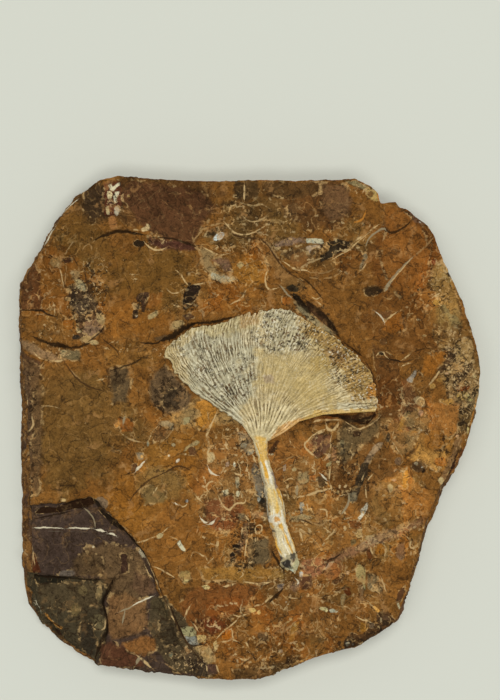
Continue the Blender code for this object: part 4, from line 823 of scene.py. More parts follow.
    ("cream", 1.2, 0.7, ((394, 431), (392, 436), (393, 440))), ("pale", 1.2, 0.7, ((427, 470), (426, 473))),
    ("white", 1.5, 0.75, ((376, 312), (380, 315), (383, 319), (384.5, 323))),
    ("cream", 1.3, 0.75, ((384.5, 323), (388, 319), (393, 315), (398, 311))),
    ("cream", 1.6, 0.85, ((376, 356), (380, 351.5), (384, 352), (385, 356), (388, 358))),
    ("crack", 1.6, 0.9, ((388, 358), (393, 360), (399, 361), (402, 362))),
    ("cream", 2, 0.85, ((402, 360), (406, 358), (410, 354))),
    ("cream", 2, 0.85, ((402, 366), (406, 364), (410, 363))),
    ("crack", 1.2, 0.8, ((414, 352), (420, 350), (426, 348))),
    ("seam", 1.2, 0.7, ((433, 338), (440, 340), (448, 343))),
    ("cream", 1.6, 0.75, ((428, 386), (433, 380), (437, 374), (440, 370))),
    ("cream", 1.6, 0.8, ((432, 298), (436, 295), (441, 293))),
    ("pale", 1.2, 0.7, ((384, 297), (390, 300), (393, 297))),
    ("pale", 1.3, 0.7, ((399, 461), (396, 456), (399, 453), (403, 457), (402, 463), (399, 466))),
)
LINE_LAYERS = 8
LINE_REACH = 0.14  # how far beyond its edges a line is known, in millimetres
LINE_ROOM = 0.66  # millimetres between two lines of one layer

# Where pale flecks, dark specks and thin curls lie: (middle, half sizes, tilt) in pixels, and strength.
PALE_ZONES = (
    ((441, 283, 12, 24, -20), 0.8), ((462, 380, 16, 48, 10), 0.9), ((86, 298, 18, 46, -12), 0.7),
    ((366, 188, 16, 8, 25), 0.9), ((114, 200, 7, 18, 0), 0.8), ((66, 350, 40, 8, 0), 0.6),
    ((196, 655, 26, 16, 20), 0.8), ((172, 350, 16, 12, 0), 0.8), ((155, 240, 14, 10, 0), 0.7),
    ((345, 432, 20, 12, 0), 0.6), ((250, 445, 14, 16, 0), 0.8), ((300, 545, 18, 20, 0), 0.7),
    ((310, 585, 40, 14, -20), 0.6), ((372, 535, 30, 12, -20), 0.6), ((245, 235, 40, 18, 0), 0.5),
    ((60, 330, 30, 14, 0), 0.6), ((180, 660, 14, 10, 0), 0.7), ((270, 655, 30, 14, 0), 0.5),
    ((135, 350, 26, 10, 0), 0.5), ((420, 415, 30, 16, -30), 0.6), ((236, 500, 20, 40, 0), 0.5),
)
DARK_ZONES = (
    ((441, 290, 12, 26, -20), 0.7), ((458, 385, 14, 44, 10), 0.9), ((88, 300, 18, 42, -12), 0.8),
    ((192, 297, 9, 13, 20), 1.0), ((140, 305, 7, 12, -20), 0.9), ((344, 246, 9, 7, 20), 1.0),
    ((326, 257, 7, 5, 20), 0.9), ((293, 289, 9, 5, 0), 0.9), ((373, 292, 8, 4, 10), 0.9),
    ((168, 395, 18, 22, -20), 0.8), ((118, 374, 14, 8, 0), 0.8), ((31, 430, 6, 66, 0), 0.7),
    ((246, 545, 18, 26, 0), 0.7), ((366, 635, 30, 12, 25), 0.8), ((355, 470, 12, 34, 40), 0.8),
    ((104, 202, 14, 16, 0), 0.7), ((276, 449, 5, 5, 0), 1.0), ((235, 560, 8, 8, 0), 1.0),
    ((150, 242, 9, 6, 0), 0.9), ((185, 640, 22, 26, 0), 0.6), ((72, 620, 40, 34, 0), 0.5),
    ((262, 655, 40, 14, 0), 0.4), ((450, 460, 8, 26, 20), 0.7), ((248, 446, 12, 14, 0), 0.7),
    ((310, 310, 24, 18, -40), 0.5), ((374, 186, 8, 6, 0), 0.8),
)
WISP_ZONES = (
    ((232, 490, 38, 74, 0), 0.9), ((318, 492, 36, 64, 0), 0.9), ((262, 228, 64, 34, 0), 0.6),
    ((350, 245, 40, 26, 20), 0.7), ((395, 410, 40, 34, 0), 0.6), ((320, 590, 60, 50, 0), 0.6),
    ((238, 630, 46, 34, 0), 0.8), ((400, 520, 44, 50, 0), 0.6), ((150, 445, 50, 40, 0), 0.35),
    ((60, 290, 40, 50, 0), 0.5), ((230, 290, 50, 30, 0), 0.5), ((440, 300, 24, 50, 0), 0.6),
    ((90, 620, 60, 50, 0), 0.25), ((300, 650, 80, 20, 0), 0.6), ((465, 380, 18, 50, 0), 0.6),
)


def to_face(points):
    """Pixels of the photograph to millimetres on the slab's face."""
    points = np.array(points, float)
    return (points - ZERO_PIXEL) * (PIXEL, -PIXEL)


# ========================================================== numbers: noise, paths and outlines
def hashed(i, j, seed):
    """A random number from 0 to 1 for each pair of whole numbers, always the same one."""
    mixed = (i.astype(np.int64) * 374761393 + j.astype(np.int64) * 668265263 + seed * 144269504) & 0xFFFFFFFF
    mixed = ((mixed ^ (mixed >> 13)) * 1274126177) & 0xFFFFFFFF
    return ((mixed ^ (mixed >> 16)) & 0xFFFF) / 65535.0


def lumps(x, y, size, seed):
    """Smooth noise from -1 to 1, with lumps of about this size."""
    x, y = x / size, y / size
    i, j = np.floor(x), np.floor(y)
    fx, fy = smooth(x - i), smooth(y - j)
    near = hashed(i, j, seed) * (1 - fy) + hashed(i, j + 1, seed) * fy
    far = hashed(i + 1, j, seed) * (1 - fy) + hashed(i + 1, j + 1, seed) * fy
    return 2.0 * (near * (1 - fx) + far * fx) - 1.0


def fractal(x, y, size, seed, octaves=4):
    """Noise from about -1 to 1 with ever smaller lumps on the large ones."""
    total = 0.0
    for k in range(octaves):
        turn = 0.6 + 1.1 * k
        along_x = x * math.cos(turn) - y * math.sin(turn)
        along_y = x * math.sin(turn) + y * math.cos(turn)
        total = total + 0.55 ** k * lumps(along_x, along_y, size / 2.0 ** k, seed + 31 * k)
    return total * 0.75


def smooth(value):
    """0 below 0, 1 above 1, and an even climb between them."""
    t = np.clip(value, 0.0, 1.0)
    return t * t * (3.0 - 2.0 * t)


def along(points, share):
    """The points that lie these shares of the way along a path, by length."""
    points = np.array(points, float)
    lengths = np.concatenate(([0.0], np.cumsum(np.linalg.norm(np.diff(points[:, :2], axis=0), axis=1))))
    return np.stack([np.interp(share * lengths[-1], lengths, column) for column in points.T], axis=-1)


def nearest_on(path, x, y):
    """Each point's distance to a path, its side (1 on the path's left, else -1) and its share along it."""
    distance = np.full(x.shape, 1e9)
    side, share = np.ones(x.shape), np.zeros(x.shape)
    spans = len(path) - 1
    for i in range(spans):
        (ax, ay), (bx, by) = path[i], path[i + 1]
        dx, dy = bx - ax, by - ay
        t = np.clip(((x - ax) * dx + (y - ay) * dy) / (dx * dx + dy * dy), 0.0, 1.0)
        here = np.hypot(x - ax - t * dx, y - ay - t * dy)
        nearer = here < distance
        distance = np.where(nearer, here, distance)
        side = np.where(nearer, np.where(dx * (y - ay) - dy * (x - ax) > 0, 1.0, -1.0), side)
        share = np.where(nearer, (i + t) / spans, share)
    return distance, side, share


def inside_by(outline, x, y):
    """How far each point lies inside a closed outline. It is negative outside."""
    outline = np.array(outline, float)
    distance = np.full(x.shape, 1e9)
    inside = np.zeros(x.shape, bool)
    for (ax, ay), (bx, by) in zip(outline, np.roll(outline, -1, axis=0)):
        dx, dy = bx - ax, by - ay
        t = np.clip(((x - ax) * dx + (y - ay) * dy) / (dx * dx + dy * dy), 0.0, 1.0)
        distance = np.minimum(distance, np.hypot(x - ax - t * dx, y - ay - t * dy))
        if ay != by:
            crosses = ((ay > y) != (by > y)) & (x < dx * (y - ay) / dy + ax)
            inside ^= crosses
    return np.where(inside, distance, -distance)


def linear(colour):
    """An sRGB colour of 0 to 255 as linear light."""
    value = np.array(colour, float) / 255.0
    return np.where(value <= 0.04045, value / 12.92, ((value + 0.055) / 1.055) ** 2.4)


def level_in(place, x, y):
    """How far each point lies inside an outline, or an oval (middle, half sizes, tilt), given in pixels."""
    if isinstance(place[0], tuple):
        return inside_by(to_face(place), x, y)
    px, py, half_x, half_y, tilt = place
    middle_x, middle_y = to_face((px, py))
    turn = math.radians(tilt)
    ax = (x - middle_x) * math.cos(turn) + (y - middle_y) * math.sin(turn)
    ay = (y - middle_y) * math.cos(turn) - (x - middle_x) * math.sin(turn)
    reach = np.hypot(ax / half_x, ay / half_y) / PIXEL
    return (1.0 - reach) * math.sqrt(half_x * half_y) * PIXEL


class Ground:
    """Points on the face, with the noise that every soft stain's edge wanders by."""

    def __init__(self, x, y):
        self.x, self.y = x, y
        self.wander = 0.9 * fractal(x, y, 1.6, 7) + 0.5 * fractal(x, y, 0.5, 11)

    def share(self, place, softness):
        """1 inside a place and 0 outside it, with a soft, wandering edge."""
        soft = softness * PIXEL
        return smooth((level_in(place, self.x, self.y) + soft * self.wander) / soft + 0.5)

    def stained(self, colour, stains):
        """A colour with stains over it, each one over those before it."""
        for place, tint, strength, softness in stains:
            mask = (strength * self.share(place, softness))[:, None]
            colour = colour * (1 - mask) + linear(tint) * mask
        return colour

    def zones(self, table, softness, base=0.0):
        """The greatest of the strengths that the zones give each point."""
        total = np.full(self.x.shape, base)
        for place, strength in table:
            total = np.maximum(total, strength * self.share(place, softness))
        return total


# ========================================================== patches on the face
def patch_box(place, softness):
    """The pixels that a patch may colour, as its lowest and highest corner."""
    room = PATCH_ROOM + 0.6 * softness
    if isinstance(place[0], tuple):
        corners = np.array(place)
        return corners.min(axis=0) - room, corners.max(axis=0) + room
    middle, half = np.array(place[:2]), max(place[2:4])
    return middle - half - room, middle + half + room


def patch_rim(place):
    """Points around a patch's edge, on the face."""
    if isinstance(place[0], tuple):
        corners = to_face(place + place[:1])
        return along(corners, np.linspace(0.0, 1.0, 8 * len(place)))
    px, py, half_x, half_y, tilt = place
    turn, tilt = np.linspace(0.0, 2.0 * math.pi, 17), math.radians(tilt)
    along_it, across = PIXEL * half_x * np.cos(turn), PIXEL * half_y * np.sin(turn)
    x = along_it * math.cos(tilt) - across * math.sin(tilt)
    y = along_it * math.sin(tilt) + across * math.cos(tilt)
    return to_face((px, py)) + np.stack((x, y), axis=1)


def gap_between(place, rim, other, other_rim):
    """How far apart two patches are. It is negative where they lie over one another."""
    return -max(np.max(level_in(place, *other_rim.T)), np.max(level_in(other, *rim.T)))


def half_size(place):
    """Half the width of a disc as large as a patch, in pixels."""
    if isinstance(place[0], tuple):
        x, y = np.array(place, dtype=float).T
        return math.sqrt(abs(np.sum(x * np.roll(y, -1) - y * np.roll(x, -1))) / 2.0 / math.pi)
    return math.sqrt(place[2] * place[3])


def softened(patch):
    """A patch whose edge is softer where it is large, unless it is a strong one."""
    place, colour, strength, softness = patch
    if strength < STRONG:
        softness = max(softness, min(SOFTEST, SOFT_SHARE * half_size(place)))
    return place, colour, strength, softness


def layered_patches():
    """The patches, shared out so that those of one layer keep clear of each other, and a patch that lies over
    another is in a later layer."""
    layers, placed = [], []
    for patch in map(softened, PATCHES):
        place, rim = patch[0], patch_rim(patch[0])
        low, high = patch_box(place, patch[3])
        near, lowest = set(), 0
        for k, other, other_rim, other_low, other_high in placed:
            if not (np.all(low < other_high) and np.all(high > other_low)):
                continue
            gap = gap_between(place, rim, other, other_rim)
            if gap < PATCH_ROOM * PIXEL:
                near.add(k)
            if gap < 0.0:
                lowest = max(lowest, k + 1)
        chosen = next(k for k in range(lowest, len(PATCHES)) if k not in near)
        if chosen == len(layers):
            layers.append([])
        layers[chosen].append((low, high, patch))
        placed.append((chosen, place, rim, low, high))
    return layers


def patch_fields(x, y):
    """For each layer: how far each point lies inside its nearest patch, in shares of the patch's softness,
    the patch's strength, how far its edge wanders, and its colour. Also the depth of the hollows."""
    px, py = x / PIXEL + ZERO_PIXEL[0], ZERO_PIXEL[1] - y / PIXEL
    fields, hollow = {}, np.zeros(x.shape)
    for k, layer in enumerate(layered_patches()):
        data, tint = np.zeros((len(x), 3)), np.zeros((len(x), 3))
        data[:, 0] = -9.0
        nearest = np.full(x.shape, -9.0)
        for low, high, (place, colour, strength, softness) in layer:
            here = np.nonzero((px > low[0]) & (px < high[0]) & (py > low[1]) & (py < high[1]))[0]
            level = level_in(place, x[here], y[here])
            closer = level > nearest[here]
            at, level = here[closer], level[closer]
            soft = softness * PIXEL
            nearest[at] = level
            shown = 1.0 - (1.0 - strength) ** 1.5
            wander = (SHARP_WANDER if softness <= SHARP else SOFT_WANDER) / soft + MORE_WANDER
            data[at, 0] = level / soft
            data[at, 1:] = shown, wander
            tint[at] = linear(colour)
            if sum(colour) < DARKEST:
                hollow[at] = np.maximum(hollow[at], HOLLOW * smooth(level / 0.14 + 0.3))
        fields[f"patch{k}"] = data
        fields[f"patch{k}_tint"] = tint
    return fields, hollow


# ========================================================== lines on the face
def line_points(path):
    """A line's path on the face, with its bends rounded."""
    points = to_face(path)
    share = np.linspace(0.0, 1.0, 3 * len(points) + 1)
    if len(points) < 3:
        return along(points, share)
    for _ in range(2):
        before, after = points[:-1] * 0.75 + points[1:] * 0.25, points[:-1] * 0.25 + points[1:] * 0.75
        middle = np.stack((before, after), axis=1).reshape(-1, 2)
        points = np.concatenate((points[:1], middle[1:-1], points[-1:]))
    return points


def points_apart(points, others):
    """The least distance from one of these points to one of the others."""
    return np.min(np.linalg.norm(points[:, None] - others[None], axis=2))


def layered_lines():
    """The lines, shared out so that those of one layer keep clear of each other."""
    layers = [[] for _ in range(LINE_LAYERS)]
    for kind, width, strength, path in LINES:
        points = line_points(path)
        room = [min([points_apart(points, other[3]) for other in layer] or [99.0]) for layer in layers]
        chosen = next((k for k, gap in enumerate(room) if gap > LINE_ROOM), int(np.argmax(room)))
        layers[chosen].append((kind, width, strength, points))
    return layers


def line_fields(x, y):
    """For each layer: how far each point lies across the nearest line, in half widths, the line's strength,
    how much of it breaks up, and its colour. Also the relief of all the lines."""
    fields, relief = {}, np.zeros(x.shape)
    for k, layer in enumerate(layered_lines()):
        data = np.zeros((len(x), 3))
        data[:, 0] = 9.0
        tint = np.zeros((len(x), 3))
        nearest = np.full(x.shape, 9.0)
        for kind, width, strength, points in layer:
            half = 0.5 * width * PIXEL
            reach = 2.2 * half + LINE_REACH
            low, high = points.min(axis=0) - reach, points.max(axis=0) + reach
            here = np.nonzero((x > low[0]) & (x < high[0]) & (y > low[1]) & (y < high[1]))[0]
            distance, side, share = nearest_on(points, x[here], y[here])
            taper = 0.25 + 0.75 * np.sqrt(np.clip(np.minimum(share, 1.0 - share) / 0.2, 0.0, 1.0))
            uneven = taper * (1.0 + 0.35 * fractal(x[here], y[here], 0.6, 161, 2))
            closer = distance < nearest[here]
            at = here[closer]
            nearest[at] = distance[closer]
            data[at, 0] = (side * distance / (half * uneven))[closer]
            data[at, 1] = (strength * smooth((reach - distance) / 0.1))[closer]
            data[at, 2] = LINE_BREAKS.get(kind, 0.0)
            tint[at] = linear(LINE_COLOURS[kind])
            bump = np.exp(-((distance / (half + 0.04)) ** 2)) * strength * taper
            height = LINE_DEPTHS[kind] * width if kind in LINE_DEPTHS else VEINLET_RISE
            relief[here] += max(height, DEEPEST_CRACK) * bump
        fields[f"line{k}"] = data
        fields[f"line{k}_tint"] = tint
    return fields, relief


# ========================================================== the split face
def ragged(x, y):
    """The points, each moved a little, so that an edge read at them is ragged."""
    return x + RAGGED * fractal(x, y, 0.7, 21), y + RAGGED * fractal(x, y, 0.7, 22)


def waves(x, y):
    """The same gentle waves and lumps as the part's face has."""
    large = [noise.noise(Vector((a / 7.0, b / 7.0, 3.1))) for a, b in zip(x, y)]
    small = [noise.noise(Vector((a / 1.6, b / 1.6, 8.7))) for a, b in zip(x, y)]
    return SWELL * np.array(large) + ROUGHNESS * np.array(small)


def ledge_height(x, y, path, rise, reach):
    """How much a ledge adds: it is steep along its path and fades behind it and towards its ends."""
    distance, side, share = nearest_on(path, x, y)
    ends = smooth(share / 0.12) * smooth((1.0 - share) / 0.12)
    climb = smooth(distance / (0.5 * LEDGE_SOFTNESS))
    return np.where(side > 0, rise * climb * np.exp(-((distance / reach) ** 2)) * ends, 0.0)


def flake_level(x, y):
    """Counts up the rock's thin layers: each ends in a small step where this passes a whole number."""
    return 3.0 * fractal(x, y, 4.5, 41) + 0.40 * fractal(x, y, 0.8, 43)


def flakes(x, y):
    """The height of the thin layers' small steps."""
    level = flake_level(x, y)
    whole = np.floor(level)
    return FLAKE_STEP * (whole + smooth((level - whole) / 0.14) - 2.2)


def grain(x, y):
    """The broken surface's small lumps, from about -1 to 1."""
    return 0.62 * fractal(x, y, 0.9, 51) + 0.38 * fractal(x, y, 0.36, 52)


def face_height(x, y):
    """The rock's height at each point, with all but the leaf's bed."""
    rx, ry = ragged(x, y)
    height = FACE_HEIGHT + waves(x, y)
    for path, rise, reach in LEDGES:
        height = height + ledge_height(rx, ry, path, rise, reach)
    chip = smooth(inside_by(CHIP, rx, ry) / CHIP_SOFTNESS + 0.5)
    deep = smooth(inside_by(DEEP_CHIP, rx, ry) / CHIP_SOFTNESS + 0.5)
    crevice = smooth(inside_by(CREVICE, rx, ry) / 0.25 + 0.6)
    height = height + (flakes(x, y) + GRAIN_DEPTH * grain(x, y)) * (1.0 - 0.4 * chip)
    height = height - CHIP_DEPTH * chip - (DEEP_CHIP_DEPTH - CHIP_DEPTH) * deep - CREVICE_DEPTH * crevice
    return height + deep * 0.06 * fractal(x, y, 0.6, 53)


# ========================================================== the slab
def rim_place(a, b):
    """Where the ray through each point of the square meets its rim: 0 to 4, clockwise from the upper left."""
    reach = np.maximum(np.maximum(np.abs(a), np.abs(b)), 1e-9)
    a, b = a / reach, b / reach
    sides = [(b >= 1.0) & (a < 1.0), (a >= 1.0) & (b > -1.0), (b <= -1.0) & (a > -1.0)]
    places = [(a + 1.0) / 2.0, 1.0 + (1.0 - b) / 2.0, 2.0 + (1.0 - a) / 2.0]
    return np.select(sides, places, 3.0 + (b + 1.0) / 2.0)


def edge_points(place):
    """x, y and reach of the slab's edge at each place of 0 to 4."""
    place = np.mod(place, 4.0)
    side = np.minimum(place.astype(int), 3)
    points = np.zeros((len(place), 3))
    for k in range(4):
        first = SQUARE_CORNERS[k]
        last = SQUARE_CORNERS[k + 1] if k < 3 else len(SLAB_EDGE)
        stretch = (SLAB_EDGE + SLAB_EDGE[:1])[first:last + 1]
        here = side == k
        points[here] = along(stretch, place[here] - k)
    return points


def outward(place):
    """The direction straight out from the slab's edge at each place."""
    step = 0.02
    tangent = edge_points(place + step)[:, :2] - edge_points(place - step)[:, :2]
    tangent /= np.linalg.norm(tangent, axis=1)[:, None]
    return np.stack((-tangent[:, 1], tangent[:, 0]), axis=1)


def round_noise(place, steps, seed):
    """Noise from -1 to 1 round the slab, which meets itself after a whole turn."""
    turn = place / 4.0 * 2.0 * math.pi
    radius = steps / (2.0 * math.pi)
    return fractal(radius * np.cos(turn), radius * np.sin(turn), 1.0, seed)


def face_points():
    """The square grid bent to the slab's outline: x, y, place along the edge, share of the way out, faces."""
    steps = np.arange(-FACE_CELLS, FACE_CELLS + 1) / FACE_CELLS
    b, a = (grid.ravel() for grid in np.meshgrid(steps, steps, indexing="ij"))
    reach = np.maximum(np.abs(a), np.abs(b))
    place = rim_place(a, b)
    jag = 0.045 + 0.045 * round_noise(place, 150, 61) + 0.03 * round_noise(place, 420, 62)
    edge = edge_points(place)[:, :2] - np.maximum(jag, 0.0)[:, None] * outward(place)
    x, y = (reach[:, None] * edge).T
    return x, y, place, reach, grid_faces(2 * FACE_CELLS + 1, 2 * FACE_CELLS + 1)


def grid_faces(rows, columns):
    """The faces of a grid of points that are numbered row by row."""
    i, j = (grid.ravel() for grid in np.meshgrid(np.arange(rows - 1), np.arange(columns - 1), indexing="ij"))
    first = i * columns + j
    return np.stack((first, first + 1, first + columns + 1, first + columns), axis=1)


def rim_order():
    """The grid's rim points, clockwise from the upper left corner."""
    size = 2 * FACE_CELLS + 1
    index = np.arange(size * size).reshape(size, size)
    top, right = index[-1, :-1], index[:0:-1, -1]
    low, left = index[0, :0:-1], index[:-1, 0]
    return np.concatenate((top, right, low, left))


def layered_noise(place, low, table):
    """Noise round the slab that differs from layer to layer of its height."""
    total = 0.0
    for size, steps, seed, layers in table:
        total = total + size * round_noise(place, steps, seed + int(low * layers))
    return total


def side_points(place, top, low):
    """One ring of the broken side, at this share of the face's height: x, y and height."""
    edge, away = edge_points(place), outward(place)
    share = np.interp(low, SIDE_HEIGHTS, SIDE_SHARES)
    layer = layered_noise(place, low, SIDE_LAYERS)
    out = edge[:, 2] * np.clip(share + layer * (low > 0), 0.0, 1.0 - 0.45 * low)
    near_ends = min(1.0, 6.0 * (1.0 - low)) * min(1.0, 0.25 + 4.0 * low)
    out -= np.maximum(0.10 + layered_noise(place, low, SIDE_BREAKS), 0.0) * near_ends
    out -= 0.04 + 0.04 * round_noise(place, 300, 99)
    return edge[:, 0] + out * away[:, 0], edge[:, 1] + out * away[:, 1], top * low


def rock_shape():
    """Points, faces, and each point's share of the way out; the sides' share is over 1."""
    x, y, place, reach, faces = face_points()
    z = face_height(x, y)
    wear = 0.10 + 0.08 * round_noise(place, 90, 64) + 0.05 * round_noise(place, 260, 65)
    z -= wear * smooth((reach - 0.972) / 0.028)
    z += line_fields(x, y)[1] - patch_fields(x, y)[1]
    z -= BED_DEPTH * smooth(inside_by(leaf_outline(), x, y) / 0.12 - 0.6)
    rim = rim_order()
    tops, places = z[rim], place[rim]
    rings, shares = [np.stack((x, y, z), axis=1)], [reach]
    faces = faces.tolist()
    above, count = rim, len(x)
    for ring in range(1, SIDE_RINGS + 1):
        low = 1.0 - ring / SIDE_RINGS
        rings.append(np.stack(side_points(places, tops, low), axis=1))
        shares.append(np.full(len(rim), 1.0 + ring / SIDE_RINGS))
        here = count + np.arange(len(rim))
        faces += np.stack((above, np.roll(above, -1), np.roll(here, -1), here), axis=1).tolist()
        above = here
        count += len(rim)
    return np.concatenate(rings), [*faces, above.tolist()], np.concatenate(shares)


# ========================================================== the leaf's shape
def blade_points(u, w):
    """Points of the blade: u from its left margin to its right one, w from the stalk to the outer margin."""
    near = (1.0 - u)[:, None] * np.array(LEFT_MARGIN[0]) + u[:, None] * np.array(RIGHT_MARGIN[0])
    far = (1.0 - u)[:, None] * np.array(OUTER_MARGIN[0]) + u[:, None] * np.array(OUTER_MARGIN[-1])
    sides = (1.0 - u)[:, None] * along(LEFT_MARGIN, w) + u[:, None] * along(RIGHT_MARGIN, w)
    w = w[:, None]
    return (1.0 - w) * near + w * along(OUTER_MARGIN, u) + sides - (1.0 - w) * near - w * far


def stalk_points(u, w):
    """Points of the stalk: u across it, w from its broken end to the blade."""
    section = along([(left, y, right) for left, right, y in STALK], w)
    end = smooth((0.03 - w) / 0.03)
    uneven = 0.06 * lumps(w * 34.0, u * 0.0, 1.0, 193) * smooth((1.0 - w) / 0.15)
    x = section[:, 0] + u * (section[:, 2] - section[:, 0]) + uneven * (2.0 * u - 1.0)
    return np.stack((x, section[:, 1] + 0.16 * end * lumps(u * 7.0, w * 0.0, 1.0, 194)), axis=1)


def leaf_outline():
    """The leaf's edge, as points in order."""
    share = np.linspace(0.0, 1.0, 60)
    none, whole = np.zeros(60), np.ones(60)
    sides = (
        blade_points(none, share), blade_points(share, whole), blade_points(whole, 1.0 - share),
        stalk_points(whole, 1.0 - share), stalk_points(none, share),
    )
    return np.concatenate([points[:-1] for points in sides])


def leaf_rows():
    """Each row of the leaf's grid: its w (below 0 along the stalk) and its number of columns."""
    stalk = [(-1.0 + row / STALK_ROWS, LEAF_COLUMNS) for row in range(STALK_ROWS)]
    shares = [row / BLADE_ROWS for row in range(BLADE_ROWS + 1)]
    return stalk + [(w, LEAF_COLUMNS * 2 ** sum(w > split for split in COLUMN_SPLITS)) for w in shares]


def leaf_grid():
    """u and w of each point of the leaf's top, its faces, and its rim in order."""
    rows = leaf_rows()
    u = np.concatenate([np.arange(columns + 1) / columns for _, columns in rows])
    w = np.concatenate([np.full(columns + 1, share) for share, columns in rows])
    starts = np.concatenate(([0], np.cumsum([columns + 1 for _, columns in rows])))
    faces = []
    for row in range(len(rows) - 1):
        columns, following = rows[row][1], rows[row + 1][1]
        first, second = starts[row], starts[row + 1]
        for k in range(columns):
            if following == columns:
                outer = (second + k + 1, second + k)
            else:
                outer = (second + 2 * k + 2, second + 2 * k + 1, second + 2 * k)
            faces.append((first + k, first + k + 1, *outer))
    last = len(rows) - 1
    bottom = [starts[0] + k for k in range(rows[0][1])]
    right = [starts[row] + rows[row][1] for row in range(last)]
    top = [starts[last] + rows[last][1] - k for k in range(rows[last][1])]
    left = [starts[row] for row in range(last, 0, -1)]
    return u, w, faces, bottom + right + top + left


# The leaf's tints, from its base colour up: place in pixels, colour, strength and softness.
LEAF_COLOUR = (194, 174, 126)
STALK_COLOUR = (216, 200, 156)
# The colour of the painted highlight on the veins' crests.
CREST_HIGHLIGHT = (226, 220, 196)
LEAF_STAINS = (
    (((160, 338), (170, 325), (215, 316), (238, 312), (262, 326), (262, 372), (252, 400), (236, 420),
      (206, 404)), (182, 174, 142), 0.9, 12),
    (((156, 338), (168, 324), (198, 318), (202, 330), (184, 346), (180, 374), (166, 366)), (186, 164, 112),
     0.85, 7),
    (((176, 326), (240, 311), (262, 306), (262, 334), (226, 338), (196, 334)), (186, 168, 118), 0.85, 7),
    (((258, 304), (300, 304), (318, 330), (302, 352), (262, 356)), (186, 174, 136), 0.9, 9),
    (((238, 328), (262, 326), (264, 346), (240, 348)), (196, 180, 140), 0.8, 6),
    (((236, 304), (262, 300), (262, 326), (240, 330)), (172, 136, 84), 0.7, 4),
    (((298, 308), (326, 322), (354, 342), (378, 368), (384, 404), (346, 408), (342, 382), (330, 352),
      (306, 334)), (176, 144, 86), 0.9, 9),
    (((326, 350), (340, 346), (348, 356), (336, 364)), (138, 102, 60), 0.6, 4),
    (((256, 352), (296, 356), (322, 366), (346, 388), (344, 406), (306, 416), (280, 404), (258, 396)),
     (188, 165, 110), 0.9, 14),
    (((296, 372), (330, 384), (346, 400), (312, 410), (292, 392)), (190, 162, 96), 0.45, 14),
    (((367, 386), (374, 383), (380, 390), (380, 402), (368, 401)), (196, 132, 46), 0.75, 3),
    (((264, 375), (272, 375), (274, 383), (266, 384)), (160, 138, 112), 0.7, 3),
    (((338, 402), (384, 400), (384, 412), (334, 412)), (200, 190, 156), 0.7, 3),
    (((290, 424), (318, 410), (380, 408), (382, 414), (322, 416), (292, 430)), (212, 172, 88), 0.8, 2),
    (((250, 400), (290, 404), (298, 424), (270, 448), (250, 440)), (206, 188, 140), 0.8, 8),
    (((266, 442), (280, 427), (300, 416), (306, 421), (290, 433), (278, 445), (268, 452)), (208, 154, 80),
     0.8, 2.5),
    (((256, 436), (266, 436), (268, 460), (260, 462)), (220, 174, 78), 0.85, 3),
    (((266, 484), (274, 490), (280, 508), (276, 512), (268, 498)), (222, 188, 106), 0.6, 3),
    (((273, 474), (276, 474), (279, 487), (276, 488)), (122, 102, 104), 0.75, 1.5),
    ((276, 519, 6, 5, 0), (220, 214, 190), 0.8, 2), ((277, 519.5, 2.2, 1.8, 0), (204, 142, 54), 0.9, 1.5),
    (((270, 553), (278, 553), (284, 557), (290, 552), (298, 551), (304, 576), (272, 576)), (172, 156, 116),
     0.9, 1.5),
    (((277.5, 556), (281, 554), (282.8, 557), (281, 560), (278, 559)), (58, 50, 48), 0.95, 1),
    (((280, 561), (284, 559.5), (287, 558), (290.5, 560), (290.5, 564), (288.5, 566.5), (284, 565.5),
      (280.5, 563.5)), (38, 32, 28), 0.97, 1),
    (((289, 552.5), (293, 551), (296, 552), (295.5, 556), (292.5, 558.5), (289.5, 557.5)), (66, 59, 47), 0.92,
     1),
    ((293.3, 559.2, 1.3, 1.2, 0), (76, 42, 24), 0.9, 0.8),
    ((284, 567.4, 1.4, 1.4, 0), (52, 46, 32), 0.9, 0.8), ((291, 566, 2.4, 1.5, 0), (98, 98, 76), 0.85, 1),
    ((278, 553.5, 1.2, 1.1, 0), (108, 108, 82), 0.8, 0.8), ((277, 557, 1, 1.8, 0), (180, 170, 134), 0.9, 0.8),
    ((288, 555, 2, 1.6, 0), (160, 150, 118), 0.8, 1), ((296.5, 563, 3.4, 6, -8), (184, 178, 134), 0.9, 1.5),
    ((291, 569, 2.4, 1.2, 0), (180, 188, 162), 0.9, 1),
    ((293.4, 562, 0.8, 1.8, 0), (206, 188, 138), 0.8, 0.8), ((286, 570, 2, 1.6, 0), (176, 158, 104), 0.8, 1),
)
FAN_CENTRE = (0.76, -1.0)  # where the veins part, in millimetres on the face
LEAST_GAP = 0.42  # how dark the gaps between the strands are where no zone makes them darker
